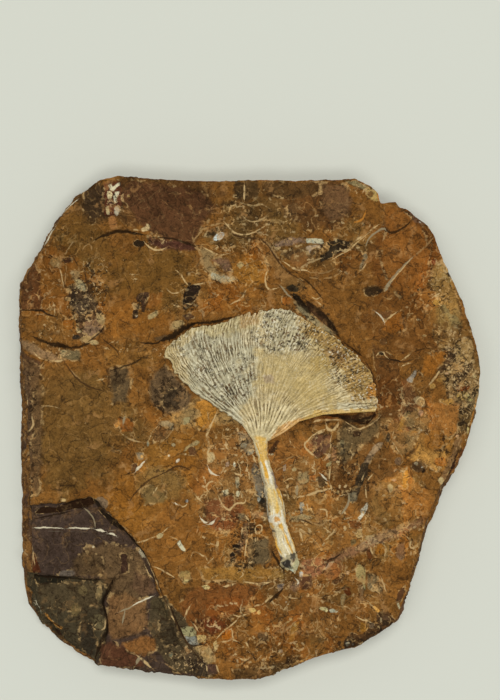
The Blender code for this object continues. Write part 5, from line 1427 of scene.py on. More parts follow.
# How dark the gaps are, and how many pits there are: place, amount and softness.
GAP_ZONES = (
    ((210, 366, 54, 50, 20), 0.85, 14), ((285, 332, 40, 26, 0), 0.55, 10), ((345, 366, 34, 34, 45), 0.75, 9),
    ((208, 372, 12, 9, 0), 1.25, 5), ((222, 392, 14, 9, 30), 1.25, 5), ((240, 376, 10, 14, 0), 1.15, 5),
    ((286, 338, 22, 9, 0), 1.1, 6), ((336, 356, 14, 7, 40), 1.2, 4), ((262, 412, 14, 16, 0), 0.85, 5),
    ((276, 414, 6, 9, 0), 1.2, 3), ((362, 404, 20, 4, 0), 1.0, 2), ((190, 388, 26, 5, -48), 1.2, 3),
)
PIT_ZONES = (
    ((282, 330, 34, 26, 0), 0.75, 8), ((290, 342, 26, 11, 0), 1.0, 5), ((330, 344, 38, 16, -42), 1.0, 5),
    ((346, 372, 20, 22, 0), 0.7, 8), ((362, 394, 14, 16, 0), 0.75, 5), ((206, 372, 14, 10, 0), 0.6, 6),
    ((224, 392, 16, 9, 0), 0.7, 6), ((244, 378, 12, 22, 0), 0.6, 6), ((186, 348, 16, 14, 0), 0.5, 6),
    ((206, 350, 14, 16, 0), 0.45, 6),
)
WARM_SHADE = (0.12, 0.18, 0.34)  # how much less red, green and blue the leaf gives back at its warm place
WARM_PLACE = ((306, 314), (340, 326), (372, 356), (386, 402), (350, 408), (330, 372), (306, 344))
# Where the veins are worn smooth.
CALM_PLACE = ((256, 354), (296, 358), (322, 368), (344, 388), (342, 404), (306, 412), (284, 402), (258, 392))


def vein_place(u, w):
    """Each point's place across the fan, wandering a little so that the veins aren't even."""
    wander = 0.012 * fractal(u * 24.0, w * 4.0, 1.0, 111, 3)
    wander = wander + 0.0062 * fractal(u * 70.0, w * 20.0, 1.0, 112, 3)
    return np.clip(u + wander * smooth(u / 0.04) * smooth((1.0 - u) / 0.04), 0.0, 1.0)


def ridges(u, w):
    """1 on each vein's crest and 0 in the gap beside it. Each vein becomes two at each fork."""
    placed = vein_place(u, w)
    count = FIRST_VEINS
    height = 0.5 - 0.5 * np.cos(2.0 * math.pi * count * placed)
    phase = count * placed
    for fork in FINE_FORKS:
        count *= 2
        finer = 0.5 - 0.5 * np.cos(2.0 * math.pi * count * placed)
        share = smooth((w - fork + 0.03) / 0.06 + 0.6 * lumps(placed * count, w * 0.0, 1.0, 113))
        height = height * (1 - share) + finer * share
        phase = np.where(w > fork, count * placed, phase)
    return height, phase


def holes_between(phase, radial, spacing, size, keep, seed):
    """Small holes in rows between the veins, at random distances along them."""
    mask = np.zeros(phase.shape)
    row = np.floor(phase)
    shift = hashed(row, row * 0, seed)
    for step in (-1, 0, 1):
        j = np.floor(radial / spacing + shift) + step
        centre = (j + 0.5 + 0.7 * (hashed(row, j, seed + 1) - 0.5) - shift) * spacing
        scale = size * (0.30 + 1.0 * hashed(row, j, seed + 2))
        away_along = (radial - centre) / (spacing * 0.42 * scale)
        away_across = (phase - row - 0.5 - 0.8 * (hashed(row, j, seed + 3) - 0.5)) / (0.50 * scale)
        hole = np.exp(-((away_along ** 2 + away_across ** 2) ** 1.5))
        mask = np.maximum(mask, hole * (hashed(row, j, seed + 4) < keep))
    return mask


def largest(ground, table):
    """The greatest of the amounts that the zones give each point."""
    total = np.zeros(ground.x.shape)
    for place, amount, softness in table:
        total = np.maximum(total, amount * ground.share(place, softness))
    return total


def stalk_tint(u, w):
    """Thin golden and whitish streaks along the stalk, with fine dark lines, and its greyer left flank,
    partly painted shade.
    """
    across = 7.0 * u + 0.9 * lumps(w * 9.0, u * 0.0, 1.0, 181)
    streak = lumps(across, w * 5.0, 1.0, 182) + 0.6 * lumps(2.3 * across, w * 16.0, 1.0, 183)
    line = smooth(1.0 - np.abs(lumps(1.3 * across, w * 7.0, 1.0, 184)) / 0.12)
    patchy = smooth(0.5 + 0.9 * fractal(u * 4.0, w * 22.0, 1.0, 185))
    # side: the stalk's left flank, greyer and darker, partly its own grey mottling and partly painted shade
    # on that side of the rounded stalk.
    side = smooth((0.24 - u) / 0.10) * smooth((w + 1.0) / 0.4) * smooth((-0.12 - w) / 0.2) * patchy
    colour = np.broadcast_to(linear(STALK_COLOUR), (len(u), 3))
    layers = (
        (smooth((streak - 0.42) / 0.2), (216, 164, 66)), (smooth((-streak - 0.20) / 0.25), (232, 224, 198)),
        (0.75 * line * patchy, (138, 96, 48)), (0.8 * side, (148, 138, 116)),
        (smooth((lumps(u * 6.0, w * 40.0, 1.0, 186) - 0.35) / 0.2) * side, (58, 48, 38)),
    )
    for mask, tint in layers:
        colour = colour * (1 - mask[:, None]) + linear(tint) * mask[:, None]
    return colour


def leaf_fields(x, y, u, w):
    """The leaf's tint, gaps, pits and crumbled places, and the height of its relief over a plain surface."""
    ridge, phase = ridges(u, w)
    ground = Ground(x + 0.10 * fractal(x, y, 0.24, 191), y + 0.10 * fractal(x, y, 0.24, 192))
    radial = np.hypot(x - FAN_CENTRE[0], y - FAN_CENTRE[1])
    blade = smooth(w / 0.08)
    calm = 0.8 * ground.share(CALM_PLACE, 26)
    strand = np.floor(phase + 0.5)
    margin = smooth(1.0 - inside_by(leaf_outline(), x, y) / 0.16)

    amount = np.maximum(LEAST_GAP, largest(ground, GAP_ZONES)) * (1.0 - 0.80 * calm) * (1.0 - 0.4 * margin)
    dash = 0.8 * lumps(np.floor(phase) * 7.3, radial / 0.55, 1.0, 131) + 0.6 * fractal(x, y, 0.34, 132)
    gap = smooth(0.76 - 2.1 * ridge + 1.1 * dash)
    gap = np.clip(amount * blade * gap, 0.0, 1.0)
    dash = lumps(np.floor(phase) * 3.1, radial / 0.24, 1.0, 135) + 0.8 * fractal(x, y, 0.8, 136)
    slit = amount * blade * smooth((0.30 - ridge) / 0.2) * smooth((dash - 0.45) / 0.25)
    amount = largest(ground, PIT_ZONES) * (1.0 - 0.7 * calm)
    pit = holes_between(phase * 0.9, radial, 0.25, 0.75, 0.55 + 0.25 * lumps(x, y, 0.9, 137), 141)
    pit = np.clip(np.maximum(1.3 * amount * pit, slit), 0.0, 1.0) * blade * (1.0 - margin)

    tone = lumps(strand * 5.1, radial / 0.9, 1.0, 133) + 0.7 * lumps(strand * 3.7, radial / 0.30, 1.0, 134)
    warm = ground.share(WARM_PLACE, 14)
    light = smooth(0.5 + 0.7 * tone) * smooth((ridge - 0.35) / 0.5)
    # Painted light: light puts a highlight on the veins' crests, and the ridge term of tone paints the crests
    # lighter and the troughs between them darker.
    light = light * (1.0 - 0.75 * calm) * blade * (1.0 - 0.55 * warm)
    tone = 1.0 + (0.13 - 0.06 * calm) * tone + (0.22 - 0.15 * calm) * (ridge - 0.5)
    base = np.broadcast_to(linear(LEAF_COLOUR), (len(x), 3))
    on_blade = smooth((w + 0.02) / 0.10)[:, None]
    tint = ground.stained(base * on_blade + stalk_tint(u, w) * (1.0 - on_blade), LEAF_STAINS)
    tint = tint * (1.0 + (tone - 1.0) * blade)[:, None]
    bright = 0.75 * tint + 0.42 * linear(CREST_HIGHLIGHT)
    tint = tint * (1.0 - 0.65 * light[:, None]) + bright * 0.65 * light[:, None]
    tint = tint * (1.0 - warm[:, None] * np.array(WARM_SHADE))
    relief = 0.055 * (ridge - 0.5) * blade * (1.0 - 0.6 * calm) - 0.06 * pit - 0.03 * gap
    crumbled = smooth(1.6 * largest(ground, PIT_ZONES)) * blade * (1.0 - 0.6 * calm)
    return {"tint": tint, "gap": gap, "pit": pit, "crumbled": crumbled}, relief


def leaf_shape():
    """Points, faces and masks of the leaf, closed by a skirt and a back that lie in the rock."""
    u, w, faces, rim = leaf_grid()
    finger = smooth((u - 0.28) / 0.02) * smooth((0.39 - u) / 0.02)
    frayed = 0.009 + 0.010 * lumps(u * 52.0, u * 0, 1.0, 141)
    frayed = frayed + (0.007 + 0.030 * finger) * lumps(u * 150.0, u * 0, 1.0, 142)
    torn = smooth((0.05 - u) / 0.05) * smooth(w / 0.2) * (0.005 + 0.012 * lumps(w * 44.0, u * 0, 1.0, 195))
    reach = w * (1.0 - np.maximum(frayed, 0.0) * smooth((w - 0.7) / 0.3))
    blade = blade_points(u + np.maximum(torn, 0.0), np.maximum(reach, 0.0))
    stalk = stalk_points(u, 1.0 + np.minimum(w, 0.0))
    points = np.where((w <= 0.0)[:, None], stalk, blade)
    x, y = points[:, 0], points[:, 1]
    masks, relief = leaf_fields(x, y, u, w)
    crown = STALK_RISE * (1.0 - (2.0 * u - 1.0) ** 2) * np.where(w <= 0, 1.0, 1.0 - smooth(w / 0.25))
    strands = 0.03 * lumps(u * 7.0, w * 9.0, 1.0, 151) * (1.0 - smooth(w / 0.14))
    inside = inside_by(leaf_outline(), x, y)
    level = FACE_HEIGHT + waves(x, y)
    level += (LEAF_RISE + relief) * smooth(inside / 0.16) + crown + strands
    top = np.stack((x, y, level), axis=1)
    rim = np.array(rim)
    skirt = top[rim].copy()
    skirt[:, 2] -= LEAF_THICKNESS
    below = len(top) + np.arange(len(rim))
    sides = np.stack((rim, below, np.roll(below, -1), np.roll(rim, -1)), axis=1)
    masks = {name: np.concatenate((values, values[rim])) for name, values in masks.items()}
    return np.concatenate((top, skirt)), [*faces, *sides.tolist(), below.tolist()], masks


# ========================================================== meshes
def middle_of_face():
    """The face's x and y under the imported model's origin."""
    low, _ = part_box("ginkgo_leaf")
    return np.array((LEAF_LEFT - low.x / MM, LEAF_FOOT - low.y / MM, 0.0))


def make_object(name, points, faces, masks, material):
    """An object from points in millimetres on the face, with each mask as an attribute for its material."""
    mesh = bpy.data.meshes.new(name)
    mesh.from_pydata(((points - middle_of_face()) * MM).tolist(), [], faces)
    for key, values in masks.items():
        kind, field = ("FLOAT", "value") if values.ndim == 1 else ("FLOAT_VECTOR", "vector")
        attribute = mesh.attributes.new(key, kind, "POINT")
        attribute.data.foreach_set(field, values.astype(np.float32).ravel())
    mesh.materials.append(material)
    mesh.polygons.foreach_set("use_smooth", [True] * len(mesh.polygons))
    mesh.set_sharp_from_angle(angle=math.radians(SHARP_ANGLE))
    mesh.update()
    obj = bpy.data.objects.new(name, mesh)
    bpy.context.scene.collection.objects.link(obj)
    return obj


# ========================================================== colours of the materials (sRGB) and their marks
PATCH_RIMS = ((50, 34, 20), (186, 156, 108))
FRAGMENTS = ((2.4, 1.0), (1.05, 0.7))  # size, and how far each one's tint differs
FRAGMENT_RIMS = ((48, 33, 20), (186, 152, 102))
FRAGMENT_TINTS = ((0.90, 0.98, 1.08), (1.10, 1.0, 0.88))  # shares of red, green and blue
# The thin layers' painted shadow under each edge, and their pale edge, partly wear and partly painted
# highlight.
LAYER_SHADOW = (44, 31, 19)
LAYER_EDGE = (184, 146, 92)
MOTTLING = ((1.5, 0.34, 0.0), (0.62, 0.40, 3.0), (0.26, 0.60, 5.0), (0.11, 0.76, 9.0))  # size, amount, shift
GRAIN_SHADE = (74, 56, 36)
GRAIN_LIGHT = (188, 146, 88)
SMEAR_COLOURS = ((74, 54, 32), (178, 134, 84))
# Zone, size, distortion, shift, the noise level above which it shows outside its zone, strength and colour.
SPECKS = (
    ("dark", 0.34, 0.6, 21.0, 0.665, 0.82, (40, 30, 20)),
    ("pale", 0.26, 0.8, 27.0, 0.71, 0.80, (190, 162, 118)),
)
STROKE_COLOUR = (46, 32, 18)
THREAD_COLOUR = (196, 162, 110)
# Cell size, half length, half width, shift and the share of cells that have a curl.
CURLS = ((0.90, 0.28, 0.048, 41.0, 0.30), (1.60, 0.55, 0.055, 47.0, 0.34), (0.60, 0.13, 0.070, 53.0, 0.34))
CURL_COLOURS = ((160, 124, 78), (206, 180, 134))
SEAM_COLOUR = (44, 31, 18)
SIDE_COLOURS = ((88, 60, 36), (142, 100, 52))
# Size, roughness, distortion, shift, the noise levels between which it comes in, strength and colour.
SIDE_BLOTCHES = (
    (2.6, 0.6, 0.6, 91.0, 0.50, 0.62, 0.8, (84, 62, 48)),
    (2.0, 0.6, 0.6, 93.0, 0.54, 0.64, 0.7, (156, 106, 48)),
    (0.5, 0.65, 0.8, 95.0, 0.60, 0.66, 0.6, (184, 152, 104)),
)
UNDERSIDE_COLOURS = ((92, 64, 34), (134, 96, 52))
GAP_COLOUR = (110, 88, 54)
PIT_COLOURS = ((50, 40, 28), (104, 68, 32))
HOLE_COLOUR = (74, 58, 38)
CRUMB_COLOUR = (228, 220, 192)
TABLE_COLOUR = (216, 218, 206)
SKY_COLOUR = (250, 252, 248)

# ---------------------------------------------------------- the studio
TABLE_HALF = 1.5  # metres
TABLE_TOP = -0.00002  # just under the slab, so that the two don't share a plane
SKY_STRENGTH = 0.26
LAMP_DISTANCE = 0.6  # metres
# Name, azimuth and elevation in degrees, size across and along in metres, and watts.
LAMPS = (
    ("north_lamp", 84, 72, (0.24, 0.13), 1.10),
    ("south_lamp", -78, 73, (0.24, 0.13), 0.86),
    ("east_lamp", 4, 70, (0.13, 0.24), 0.48),
    ("west_lamp", 176, 70, (0.13, 0.24), 0.36),
)
CAMERA_PLACE = (0.0, 3.21, 105.1)  # millimetres on and over the face
CAMERA_AIM = (0.0, 5.62, 4.1)
FOCAL_PIXELS = 1383.0  # the focal length and the frame's height, in the photograph's pixels
FRAME_HEIGHT = 700.0
SENSOR = 36.0


# ========================================================== node materials
class Nodes:
    """Makes a node material, one call for each node or small group of nodes. Sizes are in millimetres."""

    def __init__(self, name):
        self.material = bpy.data.materials.new(name)
        self.material.use_nodes = True
        self.tree = self.material.node_tree
        self.shader = self.tree.nodes["Principled BSDF"]
        coordinates = self.tree.nodes.new("ShaderNodeTexCoord").outputs["Object"]
        self.place = self.mapped(coordinates, scale=(1.0 / MM,) * 3)

    def feed(self, socket, value):
        """Links a socket to an input, or sets the input to a number, a vector or a colour."""
        if isinstance(value, bpy.types.NodeSocket):
            self.tree.links.new(value, socket)
        elif isinstance(value, (tuple, list, np.ndarray)):
            socket.default_value = (*value, 1.0) if socket.type == "RGBA" else tuple(value)
        else:
            socket.default_value = value

    def mapped(self, place, shift=(0.0, 0.0, 0.0), scale=(1.0, 1.0, 1.0), kind="POINT"):
        """A place scaled and then shifted, or for TEXTURE the place as seen from the shift."""
        node = self.tree.nodes.new("ShaderNodeMapping")
        node.vector_type = kind
        self.feed(node.inputs["Vector"], place)
        self.feed(node.inputs["Location"], shift)
        self.feed(node.inputs["Scale"], scale)
        return node.outputs["Vector"]

    def math(self, operation, a, b=0.0, clamp=False):
        """One sum. With clamp it stays from 0 to 1."""
        node = self.tree.nodes.new("ShaderNodeMath")
        node.operation = operation
        node.use_clamp = clamp
        self.feed(node.inputs[0], a)
        self.feed(node.inputs[1], b)
        return node.outputs[0]

    def times(self, *values):
        """All the values multiplied."""
        total = values[0]
        for value in values[1:]:
            total = self.math("MULTIPLY", total, value)
        return total

    def mask(self, name, output="Fac"):
        """What the mesh holds under this name at each point: a number, or with "Color" or "Vector" three."""
        node = self.tree.nodes.new("ShaderNodeAttribute")
        node.attribute_name = name
        return node.outputs[output]

    def parts(self, name):
        """The three numbers of a vector that the mesh holds at each point."""
        split = self.tree.nodes.new("ShaderNodeSeparateXYZ")
        self.feed(split.inputs[0], self.mask(name, "Vector"))
        return split.outputs

    def grey(self, value):
        """A colour that is this bright."""
        node = self.tree.nodes.new("ShaderNodeCombineColor")
        for socket in node.inputs[:3]:
            self.feed(socket, value)
        return node.outputs["Color"]

    def normal_up(self):
        """How far the surface faces up: 1 straight up, -1 straight down."""
        node = self.tree.nodes.new("ShaderNodeNewGeometry")
        split = self.tree.nodes.new("ShaderNodeSeparateXYZ")
        self.tree.links.new(node.outputs["True Normal"], split.inputs[0])
        return split.outputs["Z"]

    def noise(self, size, detail=3.0, roughness=0.55, distortion=0.0, at=None, shift=0.0):
        """Noise from 0 to 1, with lumps of this size in millimetres."""
        node = self.tree.nodes.new("ShaderNodeTexNoise")
        place = self.place if at is None else at
        if shift:
            place = self.mapped(place, (shift, 0.7 * shift, 1.3 * shift))
        self.feed(node.inputs["Vector"], place)
        node.inputs["Scale"].default_value = 1.0 / size
        node.inputs["Detail"].default_value = detail
        node.inputs["Roughness"].default_value = roughness
        node.inputs["Distortion"].default_value = distortion
        return node.outputs["Fac"]

    def swing(self, size, detail, roughness, distortion=0.0, shift=0.0):
        """Noise from -0.5 to 0.5."""
        return self.math("SUBTRACT", self.noise(size, detail, roughness, distortion, shift=shift), 0.5)

    def climb(self, value, low, high, to_low=0.0, to_high=1.0):
        """Follows the value smoothly from one pair of limits to another, and stays within them."""
        node = self.tree.nodes.new("ShaderNodeMapRange")
        node.interpolation_type = "SMOOTHSTEP"
        for name, number in zip(("Value", "From Min", "From Max", "To Min", "To Max"),
                                (value, low, high, to_low, to_high)):
            self.feed(node.inputs[name], number)
        return node.outputs["Result"]

    def mix(self, share, a, b, blend="MIX"):
        """The colour a with this share of b in it."""
        node = self.tree.nodes.new("ShaderNodeMix")
        node.data_type = "RGBA"
        node.blend_type = blend
        self.feed(node.inputs["Factor"], share)
        self.feed(node.inputs[6], a)
        self.feed(node.inputs[7], b)
        return node.outputs[2]

    def between(self, share, colours):
        """From the first of two colours to the second."""
        return self.mix(share, *map(linear, colours))

    def lit(self, colour, light):
        """A colour made this many times as bright."""
        return self.mix(1.0, colour, self.grey(light), "MULTIPLY")

    def channels(self, colour):
        """The three numbers of a colour."""
        node = self.tree.nodes.new("ShaderNodeSeparateColor")
        self.feed(node.inputs[0], colour)
        return node.outputs

    def cells(self, place, size, feature="F1"):
        """The node of flat cells of this size."""
        node = self.tree.nodes.new("ShaderNodeTexVoronoi")
        node.voronoi_dimensions = "2D"
        node.feature = feature
        self.feed(node.inputs["Vector"], place)
        node.inputs["Scale"].default_value = 1.0 / size
        return node

    def lines(self, size, width, shift, distortion, detail):
        """Thin wandering lines: 1 on a line and 0 beside it."""
        off = self.math("ABSOLUTE", self.swing(size, detail, 0.5, distortion, shift=shift))
        return self.climb(off, 0.0, width, 1.0, 0.0)

    def bent(self, scale, detail, amount):
        """The place moved about by noise of this scale, by up to this many millimetres."""
        bend = self.tree.nodes.new("ShaderNodeTexNoise")
        self.feed(bend.inputs["Vector"], self.place)
        bend.inputs["Scale"].default_value = scale
        bend.inputs["Detail"].default_value = detail
        return self.mapped(bend.outputs["Color"], self.place, (amount,) * 3)

    def strokes(self, size, length, width, shift, kept=0.7, lean=0.0, spread=6.3):
        """Short bent strokes, one in each cell of this size that is kept: 1 on a stroke and 0 beside it. The
        lengths and widths are half ones. Also a random tone for each stroke."""
        place = self.mapped(self.bent(1.6 / length, 2.0, 1.3 * length), (shift, 0.7 * shift, 0.0))
        cells = self.cells(place, size)
        turning, tone, present = self.channels(cells.outputs["Color"])
        angle = self.climb(turning, 0.0, 1.0, lean - spread / 2, lean + spread / 2)
        turn = self.tree.nodes.new("ShaderNodeVectorRotate")
        turn.rotation_type = "Z_AXIS"
        self.feed(turn.inputs["Vector"], self.mapped(place, cells.outputs["Position"], kind="TEXTURE"))
        self.feed(turn.inputs["Angle"], angle)
        split = self.tree.nodes.new("ShaderNodeSeparateXYZ")
        self.feed(split.inputs[0], turn.outputs["Vector"])
        scale = self.climb(tone, 0.0, 1.0, 0.45, 1.25)
        along_it = self.math("DIVIDE", self.math("ABSOLUTE", split.outputs[0]), scale)
        across = self.math("DIVIDE", self.math("ABSOLUTE", split.outputs[1]), scale)
        beside = self.climb(across, 0.5 * width, 1.15 * width, 1.0, 0.0)
        beyond = self.climb(along_it, 0.6 * length, length, 1.0, 0.0)
        return self.times(beside, beyond, self.climb(present, kept, kept + 0.02, 1.0, 0.0)), tone

    def finish(self, colour, roughness, height, depth, specular):
        """The material, with a bump of this depth for its finest grain."""
        self.feed(self.shader.inputs["Base Color"], colour)
        self.feed(self.shader.inputs["Roughness"], roughness)
        self.shader.inputs["Specular IOR Level"].default_value = specular
        bump = self.tree.nodes.new("ShaderNodeBump")
        bump.inputs["Strength"].default_value = 1.0
        bump.inputs["Distance"].default_value = depth * MM
        self.feed(bump.inputs["Height"], height)
        self.feed(self.shader.inputs["Normal"], bump.outputs["Normal"])
        return self.material


def drawn_lines(n, colour):
    """Every layer of thin lines over a colour, with uneven edges. Veinlets break up here and there."""
    wobble = n.swing(0.30, 3.0, 0.6, shift=13.0)
    broken = n.climb(n.noise(0.35, 2.0, 0.5, shift=17.0), 0.38, 0.50)
    for k in range(LINE_LAYERS):
        across, strength, breaks = n.parts(f"line{k}")
        off = n.math("ABSOLUTE", n.math("ADD", across, n.times(wobble, 2.4)))
        kept = n.math("ADD", n.math("SUBTRACT", 1.0, breaks), n.times(breaks, broken), clamp=True)
        share = n.times(n.climb(off, 0.5, 1.35, 1.0, 0.0), strength, kept)
        colour = n.mix(share, colour, n.mask(f"line{k}_tint", "Color"))
    return colour


def placed_patches(n, colour, count):
    """Every layer of patches over a colour. Their edges wander like the rock's grain. Many have a rim."""
    wander = n.times(n.swing(0.8, 5.0, 0.62, 0.4, shift=61.0), 4.0)
    pale = n.noise(0.55, 2.0, 0.5, shift=67.0)
    rimmed = n.climb(n.noise(0.9, 2.0, 0.5, shift=69.0), 0.46, 0.54, 0.0, 0.55)
    rim = n.between(n.climb(pale, 0.47, 0.53), PATCH_RIMS)
    for k in range(count):
        level, strength, reach = n.parts(f"patch{k}")
        moved = n.math("ADD", level, n.times(wander, reach))
        share = n.climb(moved, -0.5, 0.5)
        colour = n.mix(n.times(share, strength), colour, n.mask(f"patch{k}_tint", "Color"))
        edge = n.climb(n.math("ABSOLUTE", n.math("ADD", moved, 0.25)), 0.15, 0.5, 1.0, 0.0)
        colour = n.mix(n.times(edge, rimmed, n.climb(strength, 0.55, 0.75)), colour, rim)
    return colour


def broken_up(n, colour):
    """Angular fragments, each with its own tint, and pale or dark lines along some of their edges."""
    place = n.mapped(n.bent(1.4, 4.0, 1.5), scale=(1.0, 0.8, 1.0))
    share = n.climb(n.mask("wisps"), 0.0, 0.7, 0.10, 1.0)
    pale = n.climb(n.noise(0.7, 2.0, 0.5, shift=83.0), 0.47, 0.53)
    shown = n.climb(n.noise(1.1, 2.0, 0.5, shift=89.0), 0.50, 0.57)
    rim = n.between(pale, FRAGMENT_RIMS)
    for size, amount in FRAGMENTS:
        cells = n.cells(place, size)
        edges = n.cells(place, size, "DISTANCE_TO_EDGE")
        tone = n.channels(cells.outputs["Color"])
        tint = n.mix(n.climb(tone[0], 0.2, 0.8), *FRAGMENT_TINTS)
        colour = n.mix(n.times(share, amount), colour, n.mix(1.0, colour, tint, "MULTIPLY"))
        light = n.climb(tone[1], 0.0, 1.0, 1.0 - 0.12 * amount, 1.0 + 0.12 * amount)
        colour = n.mix(share, colour, n.lit(colour, light))
        width = 0.055 / size
        edge = n.climb(edges.outputs["Distance"], 0.4 * width, 1.2 * width, 1.0, 0.0)
        colour = n.mix(n.times(edge, shown, share, 0.70), colour, rim)
    return colour


def flaked(n, colour):
    """The thin layers: each has its own tone, a painted shadow line under its edge, and a pale edge of wear
    and painted highlight.
    """
    level = n.math("ADD", n.mask("flake"), n.times(n.swing(0.4, 3.0, 0.6, shift=71.0), 0.5))
    whole = n.math("FLOOR", level)
    part = n.math("SUBTRACT", level, whole)
    tone = n.tree.nodes.new("ShaderNodeTexWhiteNoise")
    tone.noise_dimensions = "1D"
    n.feed(tone.inputs["W"], whole)
    colour = n.lit(colour, n.climb(tone.outputs["Value"], 0.0, 1.0, 0.88, 1.12))
    broken = n.climb(n.noise(0.9, 3.0, 0.6, shift=73.0), 0.44, 0.56)
    under = n.math("ADD", n.climb(part, 0.90, 0.97), n.climb(part, 0.07, 0.02), clamp=True)
    colour = n.mix(n.times(under, broken, 0.60), colour, linear(LAYER_SHADOW))
    # A pale edge along each layer: partly wear, partly a painted highlight.
    worn_and_lit = n.times(n.climb(part, 0.06, 0.12), n.climb(part, 0.22, 0.14), n.math("SUBTRACT", 1.0, broken))
    worn_and_lit = n.times(worn_and_lit, n.climb(n.mask("wisps"), 0.0, 0.3, 0.12, 0.42))
    return n.mix(worn_and_lit, colour, linear(LAYER_EDGE))


def mottled(n, colour):
    """A colour in the grain's light and shade, from broad mottling to single grains. Also the mottling."""
    total = n.math("ADD", 1.0, n.times(n.mask("grain"), 0.26))
    for size, amount, shift in MOTTLING:
        lump = n.swing(size, 3.0, 0.6, 0.6, shift=shift)
        total = n.math("ADD", total, n.times(lump, 2.0 * amount))
    light = n.climb(total, 0.0, 2.0, 0.30, 1.75)
    shade = n.mix(n.climb(total, 0.9, 0.2, 0.0, 0.40), colour, linear(GRAIN_SHADE))
    bright = n.mix(n.climb(total, 1.45, 2.1, 0.0, 0.35), shade, linear(GRAIN_LIGHT))
    return n.lit(bright, light), total


def speckled(n, colour):
    """Smears, dark specks, pale flecks, curled fragments and fine dark seams, where the face has them."""
    smears, tone = n.strokes(1.7, 0.75, 0.20, 5.0, 0.75, -0.75, 2.2)
    shade = n.between(n.climb(tone, 0.3, 0.7), SMEAR_COLOURS)
    rough = n.climb(n.noise(0.3, 3.0, 0.6, shift=57.0), 0.38, 0.58)
    share = n.times(smears, rough, n.climb(n.mask("wisps"), 0.0, 0.2, 0.12, 0.50))
    colour = n.mix(share, colour, shade)

    for zone, size, distortion, shift, level, strength, tint in SPECKS:
        specks = n.noise(size, 3.0, 0.65, distortion, shift=shift)
        level = n.math("SUBTRACT", level, n.times(n.mask(zone), 0.17))
        share = n.climb(n.math("SUBTRACT", specks, level), 0.0, 0.05, 0.0, strength)
        colour = n.mix(share, colour, linear(tint))

    dark, _ = n.strokes(1.1, 0.42, 0.045, 15.0, 0.6)
    colour = n.mix(n.times(dark, 0.65), colour, linear(STROKE_COLOUR))
    where = n.climb(n.noise(0.8, 2.0, 0.5, shift=35.0), 0.52, 0.58)
    share = n.times(n.lines(0.95, 0.045, 31.0, 1.6, 1.0), where, n.mask("wisps"), 0.50)
    colour = n.mix(share, colour, linear(THREAD_COLOUR))
    for size, length, width, shift, kept in CURLS:
        curls, tone = n.strokes(size, length, width, shift, kept)
        shade = n.between(n.climb(tone, 0.2, 0.9), CURL_COLOURS)
        share = n.times(curls, n.climb(n.mask("wisps"), 0.2, 0.9, 0.0, 0.72))
        colour = n.mix(share, colour, shade)
    where = n.climb(n.noise(1.4, 2.0, 0.5, shift=51.0), 0.50, 0.58)
    seams = n.times(n.lines(2.0, 0.022, 47.0, 1.6, 3.0), where, 0.6)
    return n.mix(seams, colour, linear(SEAM_COLOUR))


def rock_material(patch_layers):
    """Iron-stained rock: tints and patches, thin layers, mottling, specks and lines, and its broken sides."""
    n = Nodes("matrix_stone")
    colour = n.mask("tint", "Color")
    edge = n.times(n.swing(0.25, 2.0, 0.5, shift=81.0), 0.15)
    for name, layer in (("chip", CHIP_COLOUR), ("deep_chip", DEEP_CHIP_COLOUR)):
        colour = n.mix(n.climb(n.math("ADD", n.mask(name), edge), -0.03, 0.03), colour, linear(layer))
    colour = placed_patches(n, colour, patch_layers)
    colour = flaked(n, colour)
    colour = broken_up(n, colour)
    colour, mottling = mottled(n, colour)
    colour = speckled(n, colour)
    colour = drawn_lines(n, colour)
    colour = n.mix(1.0, colour, WARMTH, "MULTIPLY")

    layers = n.noise(0.9, 4.0, 0.62, 0.5, at=n.mapped(n.place, scale=(0.8, 0.8, 1.7)))
    side = n.between(n.climb(layers, 0.38, 0.62), SIDE_COLOURS)
    for size, roughness, distortion, shift, low, high, strength, tint in SIDE_BLOTCHES:
        blotch = n.noise(size, 3.0, roughness, distortion, shift=shift)
        side = n.mix(n.climb(blotch, low, high, 0.0, strength), side, linear(tint))
    side, _ = mottled(n, side)
    deep = n.times(n.climb(n.mask("deep_chip"), 0.0, 0.05), n.climb(n.mask("out"), 1.55, 1.75, 1.0, 0.0))
    share = n.math("SUBTRACT", n.climb(n.mask("out"), 1.02, 1.10), deep, clamp=True)
    colour = n.mix(share, colour, side)
    under = n.between(n.climb(layers, 0.35, 0.65), UNDERSIDE_COLOURS)
    under, _ = mottled(n, under)
    colour = n.mix(n.climb(n.normal_up(), -0.5, -0.9), colour, under)
    return n.finish(colour, n.climb(mottling, 0.4, 1.6, 0.94, 0.84), mottling, 0.045, 0.06)


def leaf_material():
    """Pale mineral: the strands' tints, with dark gaps and pits between them."""
    n = Nodes("leaf_mineral")
    fine = n.noise(0.13, 2.0, 0.6)
    blotch = n.noise(0.5, 3.0, 0.6, 0.5, shift=3.0)
    colour = n.mask("tint", "Color")
    colour = n.mix(n.times(n.mask("gap"), 0.90), colour, linear(GAP_COLOUR))
    pit_colour = n.between(n.climb(blotch, 0.46, 0.60), PIT_COLOURS)
    colour = n.mix(n.times(n.mask("pit"), 0.95), colour, pit_colour)
    hole = n.climb(n.noise(0.24, 3.0, 0.6, 0.8, shift=9.0), 0.575, 0.625)
    colour = n.mix(n.times(hole, n.mask("crumbled"), 0.85), colour, linear(HOLE_COLOUR))
    fleck = n.climb(n.noise(0.20, 3.0, 0.6, 0.8, shift=13.0), 0.58, 0.64)
    share = n.times(fleck, n.climb(n.mask("crumbled"), 0.0, 1.0, 0.25, 0.75))
    colour = n.mix(share, colour, linear(CRUMB_COLOUR))
    light = n.math("ADD", n.climb(fine, 0.28, 0.72, 0.80, 1.17), n.climb(blotch, 0.3, 0.7, -0.10, 0.10))
    height = n.math("ADD", fine, n.times(blotch, 0.6))
    return n.finish(n.lit(colour, light), 0.8, height, 0.03, 0.15)


